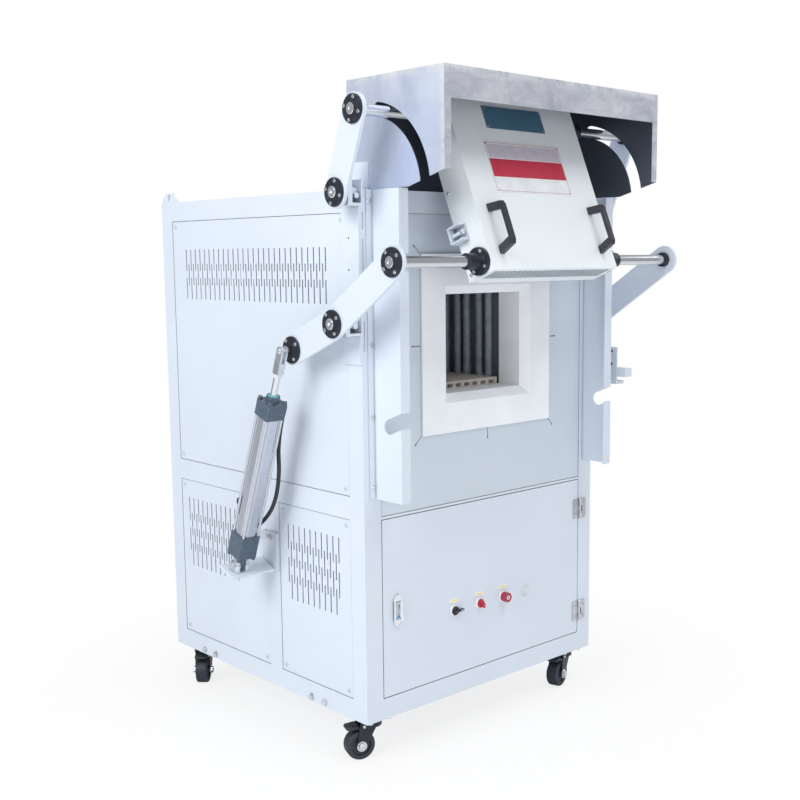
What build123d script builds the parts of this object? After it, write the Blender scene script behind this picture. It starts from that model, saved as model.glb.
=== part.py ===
from build123d import *

import os
from math import atan2, cos, degrees, hypot, pi, radians, sin, sqrt, tan

# Box furnace on casters. Two pairs of arms, driven by two pneumatic cylinders, swing the
# insulated door out of the mouth and up under a steel hood. Sizes are in millimetres.
# The origin is on the floor under the middle of the whole outline. +X is to the right for
# someone facing the door, +Y runs from the door to the back and +Z is up.
# Depths are measured behind the cabinet's front face, heights above its underside.

# Cabinet
WIDTH = 800.0
DEPTH = 833.0
HEIGHT = 1222.0
POST = 50.0
FRAME_SHEET = 3.0
LIP_SHEET = 2.0
LIP = 14.0
PANEL_SHEET = 2.0
PANEL_RECESS = 1.0
PANEL_SEAM = 1.5
LOWER_OPENING_TOP = 478.0
MIDDLE_RAIL = 54.0
FRONT_STRIP = 6.0
MIDDLE_POST_DEPTH = 330.0
DECK_SHEET = 4.0
DECK_HEIGHT = 500.0
LUG_WIDTH = 64.0
LUG_HEIGHT = 24.0
LUG_SHEET = 8.0
LUG_ROUND = 22.0
LUG_HOLE_RADIUS = 9.0
LUG_HOLE_HEIGHT = 11.5
LUG_SETBACK = 7.0
LUG_HOLE_SETBACK = 41.0

# Shallow slots in the front posts, from one height to another
POST_SLOT_SPANS = ((866.0, 934.0), (1033.0, 1113.0), (1135.0, 1171.0))
POST_SLOT_INSET = 7.0
POST_SLOT_WIDTH = 5.0
POST_SLOT_CUT = 1.5

# Ventilation slits, each field measured to its middle from its opening's front top corner
SLIT_WIDTH = 4.0
SLIT_PITCH = 22.0
UPPER_SLIT = 55.0
UPPER_SLIT_STEP = 37.0
UPPER_SLIT_ROWS = 3
UPPER_SLIT_COLUMNS = 28
UPPER_SLIT_OFFSET = 372.0
UPPER_SLIT_DROP = 139.0
LOWER_SLIT = 62.0
LOWER_SLIT_STEP = 42.0
LOWER_SLIT_ROWS = 4
LOWER_SLIT_COLUMNS = 10
REAR_SLIT_OFFSET = 246.0
REAR_SLIT_COLUMNS = 12
FRONT_SLIT_OFFSET = 145.0
LOWER_SLIT_DROP = 143.0

# Furnace mouth, lining and what it holds
MOUTH_WIDTH = 297.0
MOUTH_BOTTOM = 729.0
MOUTH_TOP = 1006.0
SPLAY = 20.0
MOUTH_FRAME_WIDTH = 444.0
MOUTH_FRAME_BOTTOM = 657.0
MOUTH_FRAME_TOP = 1081.0
MOUTH_FRAME_PROUD = 5.0
MOUTH_FRAME_DEPTH = 14.0
EXPANSION_SLIT = 26.0
EXPANSION_SLIT_WIDTH = 2.0
EXPANSION_HOLE_RADIUS = 2.5
JAMB_DEPTH = 85.0
CHAMBER_WIDTH = 300.0
CHAMBER_LENGTH = 400.0
CHAMBER_BOTTOM = 745.0
CHAMBER_TOP = 985.0
LINING_WALL = 110.0
ROD_RADIUS = 10.0
ROD_CLEARANCE = 0.5
ROD_LEG_SPACING = 34.0
ROD_PITCH = 80.0
ROD_COUNT = 4
ROD_FIRST_DEPTH = 130.0
ROD_WALL_GAP = 4.0
ROD_BOTTOM = 757.0
ROD_TOP = 1125.0
SETTER_WIDTH = 248.0
SETTER_START = 88.0
SETTER_END = 470.0
SETTER_THICKNESS = 21.0
SETTER_SLOT = 20.0
SETTER_SLOT_HEIGHT = 9.0
SETTER_SLOT_PITCH = 29.5
SETTER_SLOT_COUNT = 8
PROBE_RADIUS = 6.0
PROBE_REACH = 90.0
PROBE_HEIGHT = 905.0
PROBE_HEAD_RADIUS = 28.0
PROBE_HEAD = 45.0

# Door lift: places of the pivots, arm lengths and the open pose. The lower arms stand
# outside the upper ones, because the two pass each other when the door is shut.
LOWER_PIVOT_DEPTH = 15.0
LOWER_PIVOT_HEIGHT = 930.0
UPPER_PIVOT_DEPTH = 10.0
UPPER_PIVOT_HEIGHT = 1212.5
LOWER_ARM = 240.2
LOWER_ARM_OPEN_ANGLE = 146.4
DOOR_TILT_ANGLE = 22.0
HUB_SPACING = 343.0
CRANK = 163.0
CRANK_OPEN_ANGLE = -23.1
CYLINDER_PIN_DEPTH = 363.6
CYLINDER_PIN_HEIGHT = 337.9
ARM_SHEET = 8.0
ARM_RADIUS = 35.0
UPPER_ARM_STANDOFF = 55.5
ARM_PLANE_GAP = 1.0
CYLINDER_STANDOFF = 95.0
SHAFT_RADIUS = 12.5
RUNNING_GAP = 0.05
OPEN_PIVOT_GAP = 0.5
FLANGE_RADIUS = 31.0
FLANGE_SHEET = 5.0
BOSS_RADIUS = 18.0
BOSS_PROUD = 3.0
BOSS_INSIDE = 9.0
SHAFT_PROUD = 1.0
FLANGE_SCREW_RADIUS = 3.5
FLANGE_SCREW_HEAD = 1.8
FLANGE_SCREW_CIRCLE = 24.5
UPPER_SCREW_ANGLE = 18.0
LOWER_SCREW_ANGLE = 55.0
HUB_SCREW_ANGLE = 45.0
PIVOT_BLOCK_DEPTH = 46.0
PIVOT_BLOCK_HEIGHT = 56.0
PIVOT_BLOCK_WALL = 12.0
PIVOT_BLOCK_GAP = 1.0
PIVOT_PLATE_SHEET = 4.0
PIVOT_PLATE_LENGTH = 60.0
PIVOT_PLATE_BOTTOM = 836.0
PIVOT_PLATE_HOLE_DEPTH = 35.0
PIVOT_PLATE_HOLES = (1046.0, 1116.0)
PIVOT_PLATE_HOLE_RADIUS = 2.5
PIVOT_BOLT_RADIUS = 6.0

# Lift door, measured from its lower hubs
DOOR_WIDTH = 428.0
DOOR_BELOW_HUB = 32.0
DOOR_ABOVE_HUB = 400.0
DOOR_FRONT = 32.5
DOOR_REAR = 47.0
DOOR_SHEET = 2.0
DOOR_AIR_GAP = 10.0
DOOR_VENT_SLOT = 14.0
DOOR_VENT_WIDTH = 3.0
DOOR_VENT_PITCH_X = 18.0
DOOR_VENT_PITCH_Y = 7.0
DOOR_VENT_COLUMNS = 22
DOOR_VENT_ROWS = 6
HUB_FLANGE = 9.0
HUB_LENGTH = 46.0
HANDLE_X = 172.5
HANDLE_FOOT = 13.0
HANDLE_SPACING = 100.0
HANDLE_STANDOFF = 36.0
HANDLE_GRIP = 8.0
HANDLE_WIDTH = 13.0
HANDLE_OVERHANG = 9.0
NAMEPLATE_SHEET = 1.5
UPPER_PLATE_LEFT = -104.0
UPPER_PLATE_WIDTH = 200.0
UPPER_PLATE_BOTTOM = 309.0
UPPER_PLATE_HEIGHT = 58.0
LOWER_PLATE_LEFT = -132.0
LOWER_PLATE_WIDTH = 257.0
LOWER_PLATE_BOTTOM = 152.0
LOWER_PLATE_HEIGHT = 125.0
STOP_BRACKET_OUT = 25.0
STOP_BRACKET_SHEET = 3.0
STOP_BRACKET_BOTTOM = 57.0
STOP_BRACKET_HEIGHT = 38.0
STOP_BRACKET_LENGTH = 36.0
STOP_SCREW_RADIUS = 4.0
STOP_SCREW_HEAD = 6.0
STOP_GAP = 0.5

# Hood
HOOD_INSET = 38.0
HOOD_SHEET = 2.0
HOOD_REAR_DEPTH = 85.0
HOOD_FRONT_REACH = 230.0
HOOD_TOP = 1463.0
HOOD_FASCIA = 67.0
HOOD_CHEEK_RISE = 31.0
HOOD_CHEEK_FLAT = 118.0
HOOD_RETURN = 19.0
HOOD_SLOT_GAP = 3.0
HOOD_TAB_SHEET = 4.0
HOOD_TAB_DEPTH = 10.0
HOOD_TAB_LENGTH = 55.0
HOOD_TAB_HEIGHT = 60.0
HOOD_SLOT_START_ANGLE = 100.0
HOOD_SLOT_END_ANGLE = 190.0

# Guide channels on the front posts
CHANNEL_FLANGE_INSET = 17.0
CHANNEL_WEB_INSET = 33.0
CHANNEL_SHEET = 3.0
CHANNEL_REACH = 92.0
CHANNEL_LIP = 27.0
CHANNEL_BOTTOM = 530.0
CHANNEL_TOP = 1221.0
NOTCH_RADIUS = 17.0
LOWER_NOTCH_ANGLE = 21.5
UPPER_NOTCH_ANGLE = 27.5

# Pneumatic cylinders, measured along the axis from the rear pin
CAP_WIDTH = 52.0
REAR_CAP_START = 23.0
REAR_CAP_END = 82.0
FRONT_CAP_START = 398.0
FRONT_CAP_END = 437.0
TUBE_WIDTH = 44.0
TUBE_CHAMFER = 11.0
TUBE_BORE = 16.0
TIE_ROD_RADIUS = 3.5
TIE_ROD_OFFSET = 20.5
TIE_ROD_NUT_RADIUS = 6.0
TIE_ROD_NUT = 6.0
GLAND_RADIUS = 16.0
GLAND_LENGTH = 14.0
TONGUE_SHEET = 16.0
TONGUE_RADIUS = 13.0
REAR_PIN_RADIUS = 8.0
ROD_SHAFT_RADIUS = 8.0
PISTON_LENGTH = 18.0
PISTON_START = 100.0
CLEVIS_START = 507.0
CLEVIS_WIDTH = 18.0
CLEVIS_DEPTH = 20.0
CLEVIS_SLOT = 8.0
CLEVIS_SLOT_LENGTH = 30.0
LOCK_NUT_LENGTH = 9.0
LOCK_NUT_RADIUS = 11.5
CLEVIS_PIN_RADIUS = 4.5
CLEVIS_PIN_HEAD = 2.5
BASE_PLATE_REACH = 130.0
BASE_PLATE_LENGTH = 62.0
BASE_PLATE_SHEET = 6.0
BASE_PLATE_DROP = 20.0
EAR_SHEET = 8.0
EAR_WIDTH = 34.0
EAR_GAP = 0.5
EAR_RADIUS = 14.0
WALL_PLATE_LENGTH = 62.0
WALL_PLATE_HEIGHT = 96.0
HOSE_RADIUS = 5.0
HOSE_END_GAP = 0.1
HOSE_FIRST_RUN = 70.0
HOSE_BENDS = (
    (54.0, 246.0, 560.0),
    (50.0, 280.0, 475.0),
    (45.0, 365.0, 412.0),
    (30.0, 448.0, 400.0),
)
HOSE_END = (15.0, 480.0, 454.0)
FITTING_RADIUS = 6.0
FITTING_REACH = 13.0
FITTING_LENGTH = 19.0
REAR_FITTING = 52.0
GLAND_RADIUS_OUT = 9.0
GLAND_NUT = 6.0
GLAND_RISE = 10.0

# Cabinet door, its hinges, lock and controls
DOOR_SEAM = 2.0
DOOR_PAN = 18.0
HINGE_TOP = 423.0
HINGE_BOTTOM = 87.0
HINGE_HEIGHT = 52.0
HINGE_LEAF = 25.0
HINGE_SHEET = 3.0
KNUCKLE_RADIUS = 5.0
HINGE_PIN_RADIUS = 2.5
KNUCKLE_GAP = 0.3
HINGE_INSET = 47.0
LOCK_WIDTH = 28.0
LOCK_BOTTOM = 217.0
LOCK_HEIGHT = 77.0
LOCK_INSET = 45.0
LOCK_PLATE = 5.0
LOCK_HANDLE_WIDTH = 14.0
LOCK_HANDLE_HEIGHT = 44.0
LOCK_HANDLE_SHEET = 3.4
LOCK_TOP_GAP = 1.6
LOCK_RECESS_GAP = 0.6
LOCK_BODY = 22.0
LOCK_PIN_RADIUS = 1.2
LOCK_PIN_BEYOND = 2.0
CONTROL_HEIGHT = 214.0
LEVER_X = -119.0
KNOB_X = -30.5
BUZZER_X = 53.5
LAMP_X = 136.0
BEZEL_RADIUS = 14.7
BEZEL_SHEET = 4.0
KNOB_RADIUS = 11.0
KNOB_SHEET = 4.0
KNOB_GAP = 0.4
KNOB_STEM_RADIUS = 5.0
KNOB_STEM = 12.0
KNOB_TURN_ANGLE = 60.0
DEVICE_BARREL_RADIUS = 11.0
DEVICE_BARREL = 38.0
BUZZER_LENGTH = 21.0
LAMP_LENGTH = 7.0
LEVER_LENGTH = 25.0
LEVER_WIDTH = 8.0
HANDLE_BAR = 9.0
HANDLE_BAR_RISE = 9.0
LABEL_WIDTH = 27.0
LABEL_HEIGHT = 9.0
LABEL_SHEET = 0.6
LABEL_RISE = 24.5

# Switchgear inside the lower cabinet
BACK_BOARD_WIDTH = 560.0
BACK_BOARD_HEIGHT = 340.0
BACK_BOARD_SHEET = 3.0
BACK_BOARD_DEPTH = 320.0
POWER_BLOCK = (180.0, 110.0, 230.0)
FIN_COUNT = 8
FIN_DEPTH = 30.0
VALVE_BLOCK = (120.0, 45.0, 40.0)
SOLENOID = (26.0, 60.0, 30.0)

# Limit switch beside the right channel
SWITCH_BAR_REACH = 110.0
SWITCH_BAR_BOTTOM = 757.0
SWITCH_BAR_HEIGHT = 22.0
SWITCH_BAR_WIDTH = 32.0
SWITCH_PLATE_GAP = 1.0
SWITCH_PLATE_SHEET = 4.0
SWITCH_TONGUE_REACH = 85.0
SWITCH_TONGUE_BOTTOM = 737.0
SWITCH_TONGUE_SHEET = 8.0

# Casters
CASTER_HEIGHT = 106.0
CASTER_INSET_X = 52.0
CASTER_INSET_Y = 55.0
CASTER_PLATE_LENGTH = 95.0
CASTER_PLATE_WIDTH = 74.0
CASTER_PLATE_SHEET = 4.0
CASTER_RACE_RADIUS = 26.0
CASTER_RACE = 9.0
KINGPIN_RADIUS = 6.0
FORK_HEAD = 12.0
FORK_HEAD_RADIUS = 29.0
FORK_SHEET = 3.5
WHEEL_RADIUS = 35.5
WHEEL_WIDTH = 32.0
WHEEL_SIDE_GAP = 1.5
WHEEL_ROUND = 5.0
HUB_RECESS = 4.0
HUB_RECESS_RADIUS = 24.0
TRAIL = 27.0
AXLE_RADIUS = 5.0
AXLE_HEAD_RADIUS = 8.0
AXLE_HEAD = 4.0
PEDAL_LENGTH = 30.0
PEDAL_WIDTH = 34.0
PEDAL_SHEET = 5.0
PEDAL_HEIGHT = 77.0
CASTER_YAWS = {"front_left": 159.6, "front_right": 195.0, "rear_left": 226.0, "rear_right": 205.0}

# Fasteners
SCREW_RADIUS = 5.5
SCREW_HEAD = 2.0
SCREW_EDGE = 16.0
FRAME_BOLT_RADIUS = 7.0
FRAME_BOLT_HEAD = 5.0
CHANNEL_SCREW_HEIGHTS = (1196.0, 879.0, 717.0, 557.0)
RAIL_BOLT_DEPTHS = (159.0, 211.0, 638.0, 691.0)
RAIL_BOLT_HEIGHT = 12.0


def polar(centre, length, angle):
    """The point at a distance and an angle, from the rear upwards, in a side view."""
    return (
        centre[0] + length * cos(radians(angle)),
        centre[1] + length * sin(radians(angle)),
    )


def distance(a, b):
    return hypot(b[0] - a[0], b[1] - a[1])


def heading(a, b):
    """The direction from a to b in degrees, from the rear upwards, between 0 and 360."""
    return degrees(atan2(b[1] - a[1], b[0] - a[0])) % 360.0


def crossing(centre_a, radius_a, centre_b, radius_b):
    """Where two circles in a side view cross, on the side nearer the front."""
    span = distance(centre_a, centre_b)
    along = (radius_a**2 - radius_b**2 + span**2) / (2.0 * span)
    aside = sqrt(radius_a**2 - along**2)
    step = ((centre_b[0] - centre_a[0]) / span, (centre_b[1] - centre_a[1]) / span)
    middle = (centre_a[0] + along * step[0], centre_a[1] + along * step[1])
    pair = [
        (middle[0] - aside * step[1], middle[1] + aside * step[0]),
        (middle[0] + aside * step[1], middle[1] - aside * step[0]),
    ]
    return min(pair)


# The door lift in a side view, as (depth, height), open and closed
LOWER_PIVOT = (LOWER_PIVOT_DEPTH, LOWER_PIVOT_HEIGHT)
UPPER_PIVOT = (UPPER_PIVOT_DEPTH, UPPER_PIVOT_HEIGHT)
CYLINDER_PIN = (CYLINDER_PIN_DEPTH, CYLINDER_PIN_HEIGHT)
LOWER_HUB_OPEN = polar(LOWER_PIVOT, LOWER_ARM, LOWER_ARM_OPEN_ANGLE)
UPPER_HUB_OPEN = polar(LOWER_HUB_OPEN, HUB_SPACING, 90.0 - DOOR_TILT_ANGLE)
UPPER_ARM = distance(UPPER_PIVOT, UPPER_HUB_OPEN)
LOWER_HUB_CLOSED = crossing(
    LOWER_PIVOT, LOWER_ARM, (UPPER_PIVOT[0], UPPER_PIVOT[1] - HUB_SPACING), UPPER_ARM
)
UPPER_HUB_CLOSED = (LOWER_HUB_CLOSED[0], LOWER_HUB_CLOSED[1] + HUB_SPACING)
LOWER_ARM_TRAVEL = heading(LOWER_PIVOT, LOWER_HUB_CLOSED) - LOWER_ARM_OPEN_ANGLE
UPPER_ARM_TRAVEL = heading(UPPER_PIVOT, UPPER_HUB_CLOSED) - heading(UPPER_PIVOT, UPPER_HUB_OPEN)
CRANK_PIN_OPEN = polar(LOWER_PIVOT, CRANK, CRANK_OPEN_ANGLE)
CRANK_PIN_CLOSED = polar(LOWER_PIVOT, CRANK, CRANK_OPEN_ANGLE + LOWER_ARM_TRAVEL)
CYLINDER_LENGTH = distance(CYLINDER_PIN, CRANK_PIN_OPEN)
CYLINDER_STROKE = distance(CYLINDER_PIN, CRANK_PIN_CLOSED) - CYLINDER_LENGTH
CYLINDER_LEAN = heading(CYLINDER_PIN, CRANK_PIN_OPEN) - 90.0
CYLINDER_SWING = heading(CYLINDER_PIN, CRANK_PIN_CLOSED) - heading(CYLINDER_PIN, CRANK_PIN_OPEN)

# Row frame: the outline's middle is at the origin in plan
HANDLE_REACH = DOOR_FRONT + HANDLE_STANDOFF + HANDLE_GRIP
OPEN_HANDLE_REACH = (
    HANDLE_REACH * cos(radians(DOOR_TILT_ANGLE))
    - (HANDLE_FOOT - HANDLE_OVERHANG) * sin(radians(DOOR_TILT_ANGLE))
    - LOWER_HUB_OPEN[0]
)
FRONT = (max(OPEN_HANDLE_REACH, HOOD_FRONT_REACH) - DEPTH) / 2.0
REAR = FRONT + DEPTH
LEFT = -WIDTH / 2.0
RIGHT = WIDTH / 2.0
BASE = CASTER_HEIGHT
TOP = BASE + HEIGHT
SHELL = FRAME_SHEET + LIP_SHEET
UPPER_ARM_X = LEFT - UPPER_ARM_STANDOFF
LOWER_ARM_X = UPPER_ARM_X - ARM_SHEET - ARM_PLANE_GAP
CYLINDER_X = LEFT - CYLINDER_STANDOFF
DOOR_SIDE = -DOOR_WIDTH / 2.0
HUB_END = DOOR_SIDE - HUB_LENGTH
UPPER_SLITS = (
    UPPER_SLIT_OFFSET,
    UPPER_SLIT_DROP,
    UPPER_SLIT_COLUMNS,
    UPPER_SLIT_ROWS,
    UPPER_SLIT,
    UPPER_SLIT_STEP,
)
REAR_SLITS = (
    REAR_SLIT_OFFSET,
    LOWER_SLIT_DROP,
    REAR_SLIT_COLUMNS,
    LOWER_SLIT_ROWS,
    LOWER_SLIT,
    LOWER_SLIT_STEP,
)
FRONT_SLITS = (
    FRONT_SLIT_OFFSET,
    LOWER_SLIT_DROP,
    LOWER_SLIT_COLUMNS,
    LOWER_SLIT_ROWS,
    LOWER_SLIT,
    LOWER_SLIT_STEP,
)


def in_plan(point):
    """A (depth, height) pair as (y, z) in the row frame."""
    return (FRONT + point[0], BASE + point[1])


def block(x, y, z, mode=Mode.ADD):
    """A block between pairs of limits, added to or cut from the piece being built."""
    with Locations((x[0], y[0], z[0])):
        Box(
            x[1] - x[0],
            y[1] - y[0],
            z[1] - z[0],
            align=(Align.MIN, Align.MIN, Align.MIN),
            mode=mode,
        )


def bar_along_x(x0, x1, y, z, radius, mode=Mode.ADD):
    """A round bar or bore between two x values."""
    with Locations(Location(((x0 + x1) / 2.0, y, z), (0, 90, 0))):
        Cylinder(radius, abs(x1 - x0), mode=mode)


def bar_along_y(x, y0, y1, z, radius, mode=Mode.ADD):
    with Locations(Location((x, (y0 + y1) / 2.0, z), (90, 0, 0))):
        Cylinder(radius, abs(y1 - y0), mode=mode)


def bar_along_z(x, y, z0, z1, radius, mode=Mode.ADD):
    with Locations((x, y, (z0 + z1) / 2.0)):
        Cylinder(radius, abs(z1 - z0), mode=mode)


def arm_outer(arm_x):
    """The outer face of an arm plate whose middle is at arm_x."""
    return arm_x - ARM_SHEET / 2.0


def boss_outer(arm_x):
    """The outer end of the bearings on that plate."""
    return arm_outer(arm_x) - FLANGE_SHEET - BOSS_PROUD


def boss_inner(arm_x):
    return arm_x + ARM_SHEET / 2.0 + BOSS_INSIDE


def save(name, piece):
    """Label a finished piece and write it out."""
    piece.part.label = name
    export_step(piece.part, f"parts/{name}.step")


def twin(piece):
    """The same piece for the right side."""
    with BuildPart() as other:
        mirror(piece.part, about=Plane.YZ)
    return other


def both_sides(piece):
    """The left and right copies of a piece together."""
    with BuildPart() as pair:
        add(piece.part)
        mirror(piece.part, about=Plane.YZ)
    return pair


def moved(piece, location):
    """A piece built in its own frame, set down where it belongs."""
    with BuildPart() as placed:
        add(piece.part.moved(location))
    return placed


SIDE_UPPER = (POST, DEPTH - POST, LOWER_OPENING_TOP + MIDDLE_RAIL, HEIGHT - POST)
SIDE_FRONT = (POST, MIDDLE_POST_DEPTH, POST, LOWER_OPENING_TOP)
SIDE_REAR = (MIDDLE_POST_DEPTH + POST, DEPTH - POST, POST, LOWER_OPENING_TOP)
FACE_HALF = WIDTH / 2.0 - POST
FACE_UPPER = (LOWER_OPENING_TOP + MIDDLE_RAIL, HEIGHT - POST)
FACE_LOWER = (POST, LOWER_OPENING_TOP)
FRONT_UPPER = (LOWER_OPENING_TOP + FRONT_STRIP, HEIGHT - POST)


def cabinet_shell():
    """Folded and welded frame with a deck, two lifting lugs and two tabs beside the hood."""
    with BuildPart() as shell:
        block((LEFT, RIGHT), (FRONT, REAR), (BASE, TOP))
        block(
            (LEFT + SHELL, RIGHT - SHELL),
            (FRONT + SHELL, REAR - SHELL),
            (BASE + SHELL, TOP - SHELL),
            Mode.SUBTRACT,
        )
        for inset, cut in ((0.0, FRAME_SHEET), (LIP, SHELL)):
            for d0, d1, h0, h1 in (SIDE_UPPER, SIDE_FRONT, SIDE_REAR):
                y = (FRONT + d0 + inset, FRONT + d1 - inset)
                z = (BASE + h0 + inset, BASE + h1 - inset)
                block((LEFT, LEFT + cut), y, z, Mode.SUBTRACT)
                block((RIGHT - cut, RIGHT), y, z, Mode.SUBTRACT)
            x = (-FACE_HALF + inset, FACE_HALF - inset)
            for h0, h1 in (FACE_UPPER, FACE_LOWER):
                z = (BASE + h0 + inset, BASE + h1 - inset)
                block(x, (REAR - cut, REAR), z, Mode.SUBTRACT)
            z = (BASE + FRONT_UPPER[0] + inset, BASE + FRONT_UPPER[1] - inset)
            block(x, (FRONT, FRONT + cut), z, Mode.SUBTRACT)
            y = (FRONT + POST + inset, REAR - POST - inset)
            block(x, y, (TOP - cut, TOP), Mode.SUBTRACT)
        block(
            (-FACE_HALF, FACE_HALF),
            (FRONT, FRONT + SHELL),
            (BASE + FACE_LOWER[0], BASE + FACE_LOWER[1]),
            Mode.SUBTRACT,
        )
        block(
            (LEFT + SHELL, RIGHT - SHELL),
            (FRONT + SHELL, REAR - SHELL),
            (BASE + DECK_HEIGHT, BASE + DECK_HEIGHT + DECK_SHEET),
        )
        with BuildSketch(Plane.XZ.offset(-FRONT)):
            for low, high in POST_SLOT_SPANS:
                for x in (LEFT + POST_SLOT_INSET, RIGHT - POST_SLOT_INSET):
                    with Locations((x, BASE + (low + high) / 2.0)):
                        SlotOverall(high - low, POST_SLOT_WIDTH, rotation=90)
        extrude(amount=-POST_SLOT_CUT, mode=Mode.SUBTRACT)
        for side in (LEFT + HOOD_INSET - HOOD_TAB_SHEET, RIGHT - HOOD_INSET):
            block(
                (side, side + HOOD_TAB_SHEET),
                (FRONT + HOOD_TAB_DEPTH, FRONT + HOOD_TAB_DEPTH + HOOD_TAB_LENGTH),
                (TOP, TOP + HOOD_TAB_HEIGHT),
            )
        lug_y = REAR - LUG_SETBACK - LUG_WIDTH
        for x0 in (LEFT, RIGHT - LUG_SHEET):
            with BuildSketch(Plane.YZ.offset(x0)) as lug:
                with Locations((lug_y + LUG_WIDTH / 2.0, TOP + LUG_HEIGHT / 2.0)):
                    Rectangle(LUG_WIDTH, LUG_HEIGHT)
                fillet(lug.vertices().group_by(Axis.Y)[-1], min(LUG_ROUND, 0.95 * LUG_HEIGHT))
            extrude(amount=LUG_SHEET)
            bar_along_x(
                x0,
                x0 + LUG_SHEET,
                REAR - LUG_HOLE_SETBACK,
                TOP + LUG_HOLE_HEIGHT,
                LUG_HOLE_RADIUS,
                Mode.SUBTRACT,
            )
    return shell


def slit_places(middle, height, columns, rows, step):
    """Centres of a field of slits whose even rows stand half a pitch aside."""
    places = []
    for row in range(rows):
        count = columns - row % 2
        for column in range(count):
            across = middle + (column - (count - 1) / 2.0) * SLIT_PITCH
            up = height + ((rows - 1) / 2.0 - row) * step
            places.append((across, up))
    return places


def side_panel(opening, slits):
    """A left side panel set into its opening, with a field of ventilation slits."""
    d0, d1, h0, h1 = opening
    outer = LEFT + PANEL_RECESS
    offset, drop, columns, rows, slit, step = slits
    middle = FRONT + d0 + offset
    with BuildPart() as panel:
        block(
            (outer, outer + PANEL_SHEET),
            (FRONT + d0 + PANEL_SEAM, FRONT + d1 - PANEL_SEAM),
            (BASE + h0 + PANEL_SEAM, BASE + h1 - PANEL_SEAM),
        )
        with BuildSketch(Plane.YZ.offset(outer)):
            places = slit_places(middle, BASE + h1 - drop, columns, rows, step)
            with Locations(*places):
                Rectangle(SLIT_WIDTH, slit)
        extrude(amount=PANEL_SHEET, mode=Mode.SUBTRACT)
    return panel


def face_panel(y0, heights):
    """A panel in a front or rear opening."""
    with BuildPart() as panel:
        block(
            (-FACE_HALF + PANEL_SEAM, FACE_HALF - PANEL_SEAM),
            (y0, y0 + PANEL_SHEET),
            (BASE + heights[0] + PANEL_SEAM, BASE + heights[1] - PANEL_SEAM),
        )
    return panel


def rear_panels():
    y0 = REAR - PANEL_RECESS - PANEL_SHEET
    with BuildPart() as panels:
        add(face_panel(y0, FACE_UPPER).part)
        add(face_panel(y0, FACE_LOWER).part)
        with BuildSketch(Plane.XZ.offset(-y0)):
            height = BASE + FACE_UPPER[1] - UPPER_SLIT_DROP
            places = slit_places(
                0.0, height, REAR_SLIT_COLUMNS * 2, UPPER_SLIT_ROWS, UPPER_SLIT_STEP
            )
            with Locations(*places):
                Rectangle(SLIT_WIDTH, UPPER_SLIT)
        extrude(amount=-PANEL_SHEET, mode=Mode.SUBTRACT)
    return panels


def roof_panel():
    with BuildPart() as roof:
        block(
            (-FACE_HALF + PANEL_SEAM, FACE_HALF - PANEL_SEAM),
            (FRONT + POST + PANEL_SEAM, REAR - POST - PANEL_SEAM),
            (TOP - PANEL_RECESS - PANEL_SHEET, TOP - PANEL_RECESS),
        )
    return roof


MOUTH_MIDDLE = (MOUTH_BOTTOM + MOUTH_TOP) / 2.0
MOUTH_HEIGHT = MOUTH_TOP - MOUTH_BOTTOM
THROAT_HALF = MOUTH_WIDTH / 2.0 - SPLAY
THROAT_BOTTOM = MOUTH_BOTTOM + SPLAY
THROAT_TOP = MOUTH_TOP - SPLAY


def expansion_slit(across, up):
    """A slit that runs outwards from the mouth frame's edge to a round hole."""
    start = (
        across * MOUTH_FRAME_WIDTH / 2.0,
        BASE + (MOUTH_FRAME_BOTTOM + MOUTH_FRAME_TOP + up * (MOUTH_FRAME_TOP - MOUTH_FRAME_BOTTOM)) / 2.0,
    )
    with Locations(Location(start, degrees(atan2(up, across)))):
        with Locations((EXPANSION_SLIT / 2.0, 0.0)):
            Rectangle(EXPANSION_SLIT, EXPANSION_SLIT_WIDTH)
        with Locations((EXPANSION_SLIT, 0.0)):
            Circle(EXPANSION_HOLE_RADIUS)


def front_plate():
    """The sheet that closes the front round the ceramic mouth."""
    y0 = FRONT + PANEL_RECESS
    with BuildPart() as plate:
        add(face_panel(y0, FRONT_UPPER).part)
        block(
            (-MOUTH_FRAME_WIDTH / 2.0 - PANEL_SEAM / 2.0, MOUTH_FRAME_WIDTH / 2.0 + PANEL_SEAM / 2.0),
            (y0, y0 + PANEL_SHEET),
            (
                BASE + MOUTH_FRAME_BOTTOM - PANEL_SEAM / 2.0,
                BASE + MOUTH_FRAME_TOP + PANEL_SEAM / 2.0,
            ),
            Mode.SUBTRACT,
        )
        with BuildSketch(Plane.XZ.offset(-y0)):
            for across in (-1, 0, 1):
                for up in (-1, 0, 1):
                    if (across, up) not in ((0, 0), (0, 1)):
                        expansion_slit(across, up)
        extrude(amount=-PANEL_SHEET, mode=Mode.SUBTRACT)
    return plate


def mouth_frame():
    """Ceramic fibre frame with a splayed mouth."""
    front = FRONT - MOUTH_FRAME_PROUD
    back = FRONT + MOUTH_FRAME_DEPTH
    with BuildPart() as mouth:
        block(
            (-MOUTH_FRAME_WIDTH / 2.0, MOUTH_FRAME_WIDTH / 2.0),
            (front, back),
            (BASE + MOUTH_FRAME_BOTTOM, BASE + MOUTH_FRAME_TOP),
        )
        with BuildSketch(Plane.XZ.offset(-front)):
            with Locations((0.0, BASE + MOUTH_MIDDLE)):
                Rectangle(MOUTH_WIDTH, MOUTH_HEIGHT)
        with BuildSketch(Plane.XZ.offset(-back)):
            with Locations((0.0, BASE + MOUTH_MIDDLE)):
                Rectangle(MOUTH_WIDTH - 2.0 * SPLAY, MOUTH_HEIGHT - 2.0 * SPLAY)
        loft(mode=Mode.SUBTRACT)
    return mouth


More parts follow.
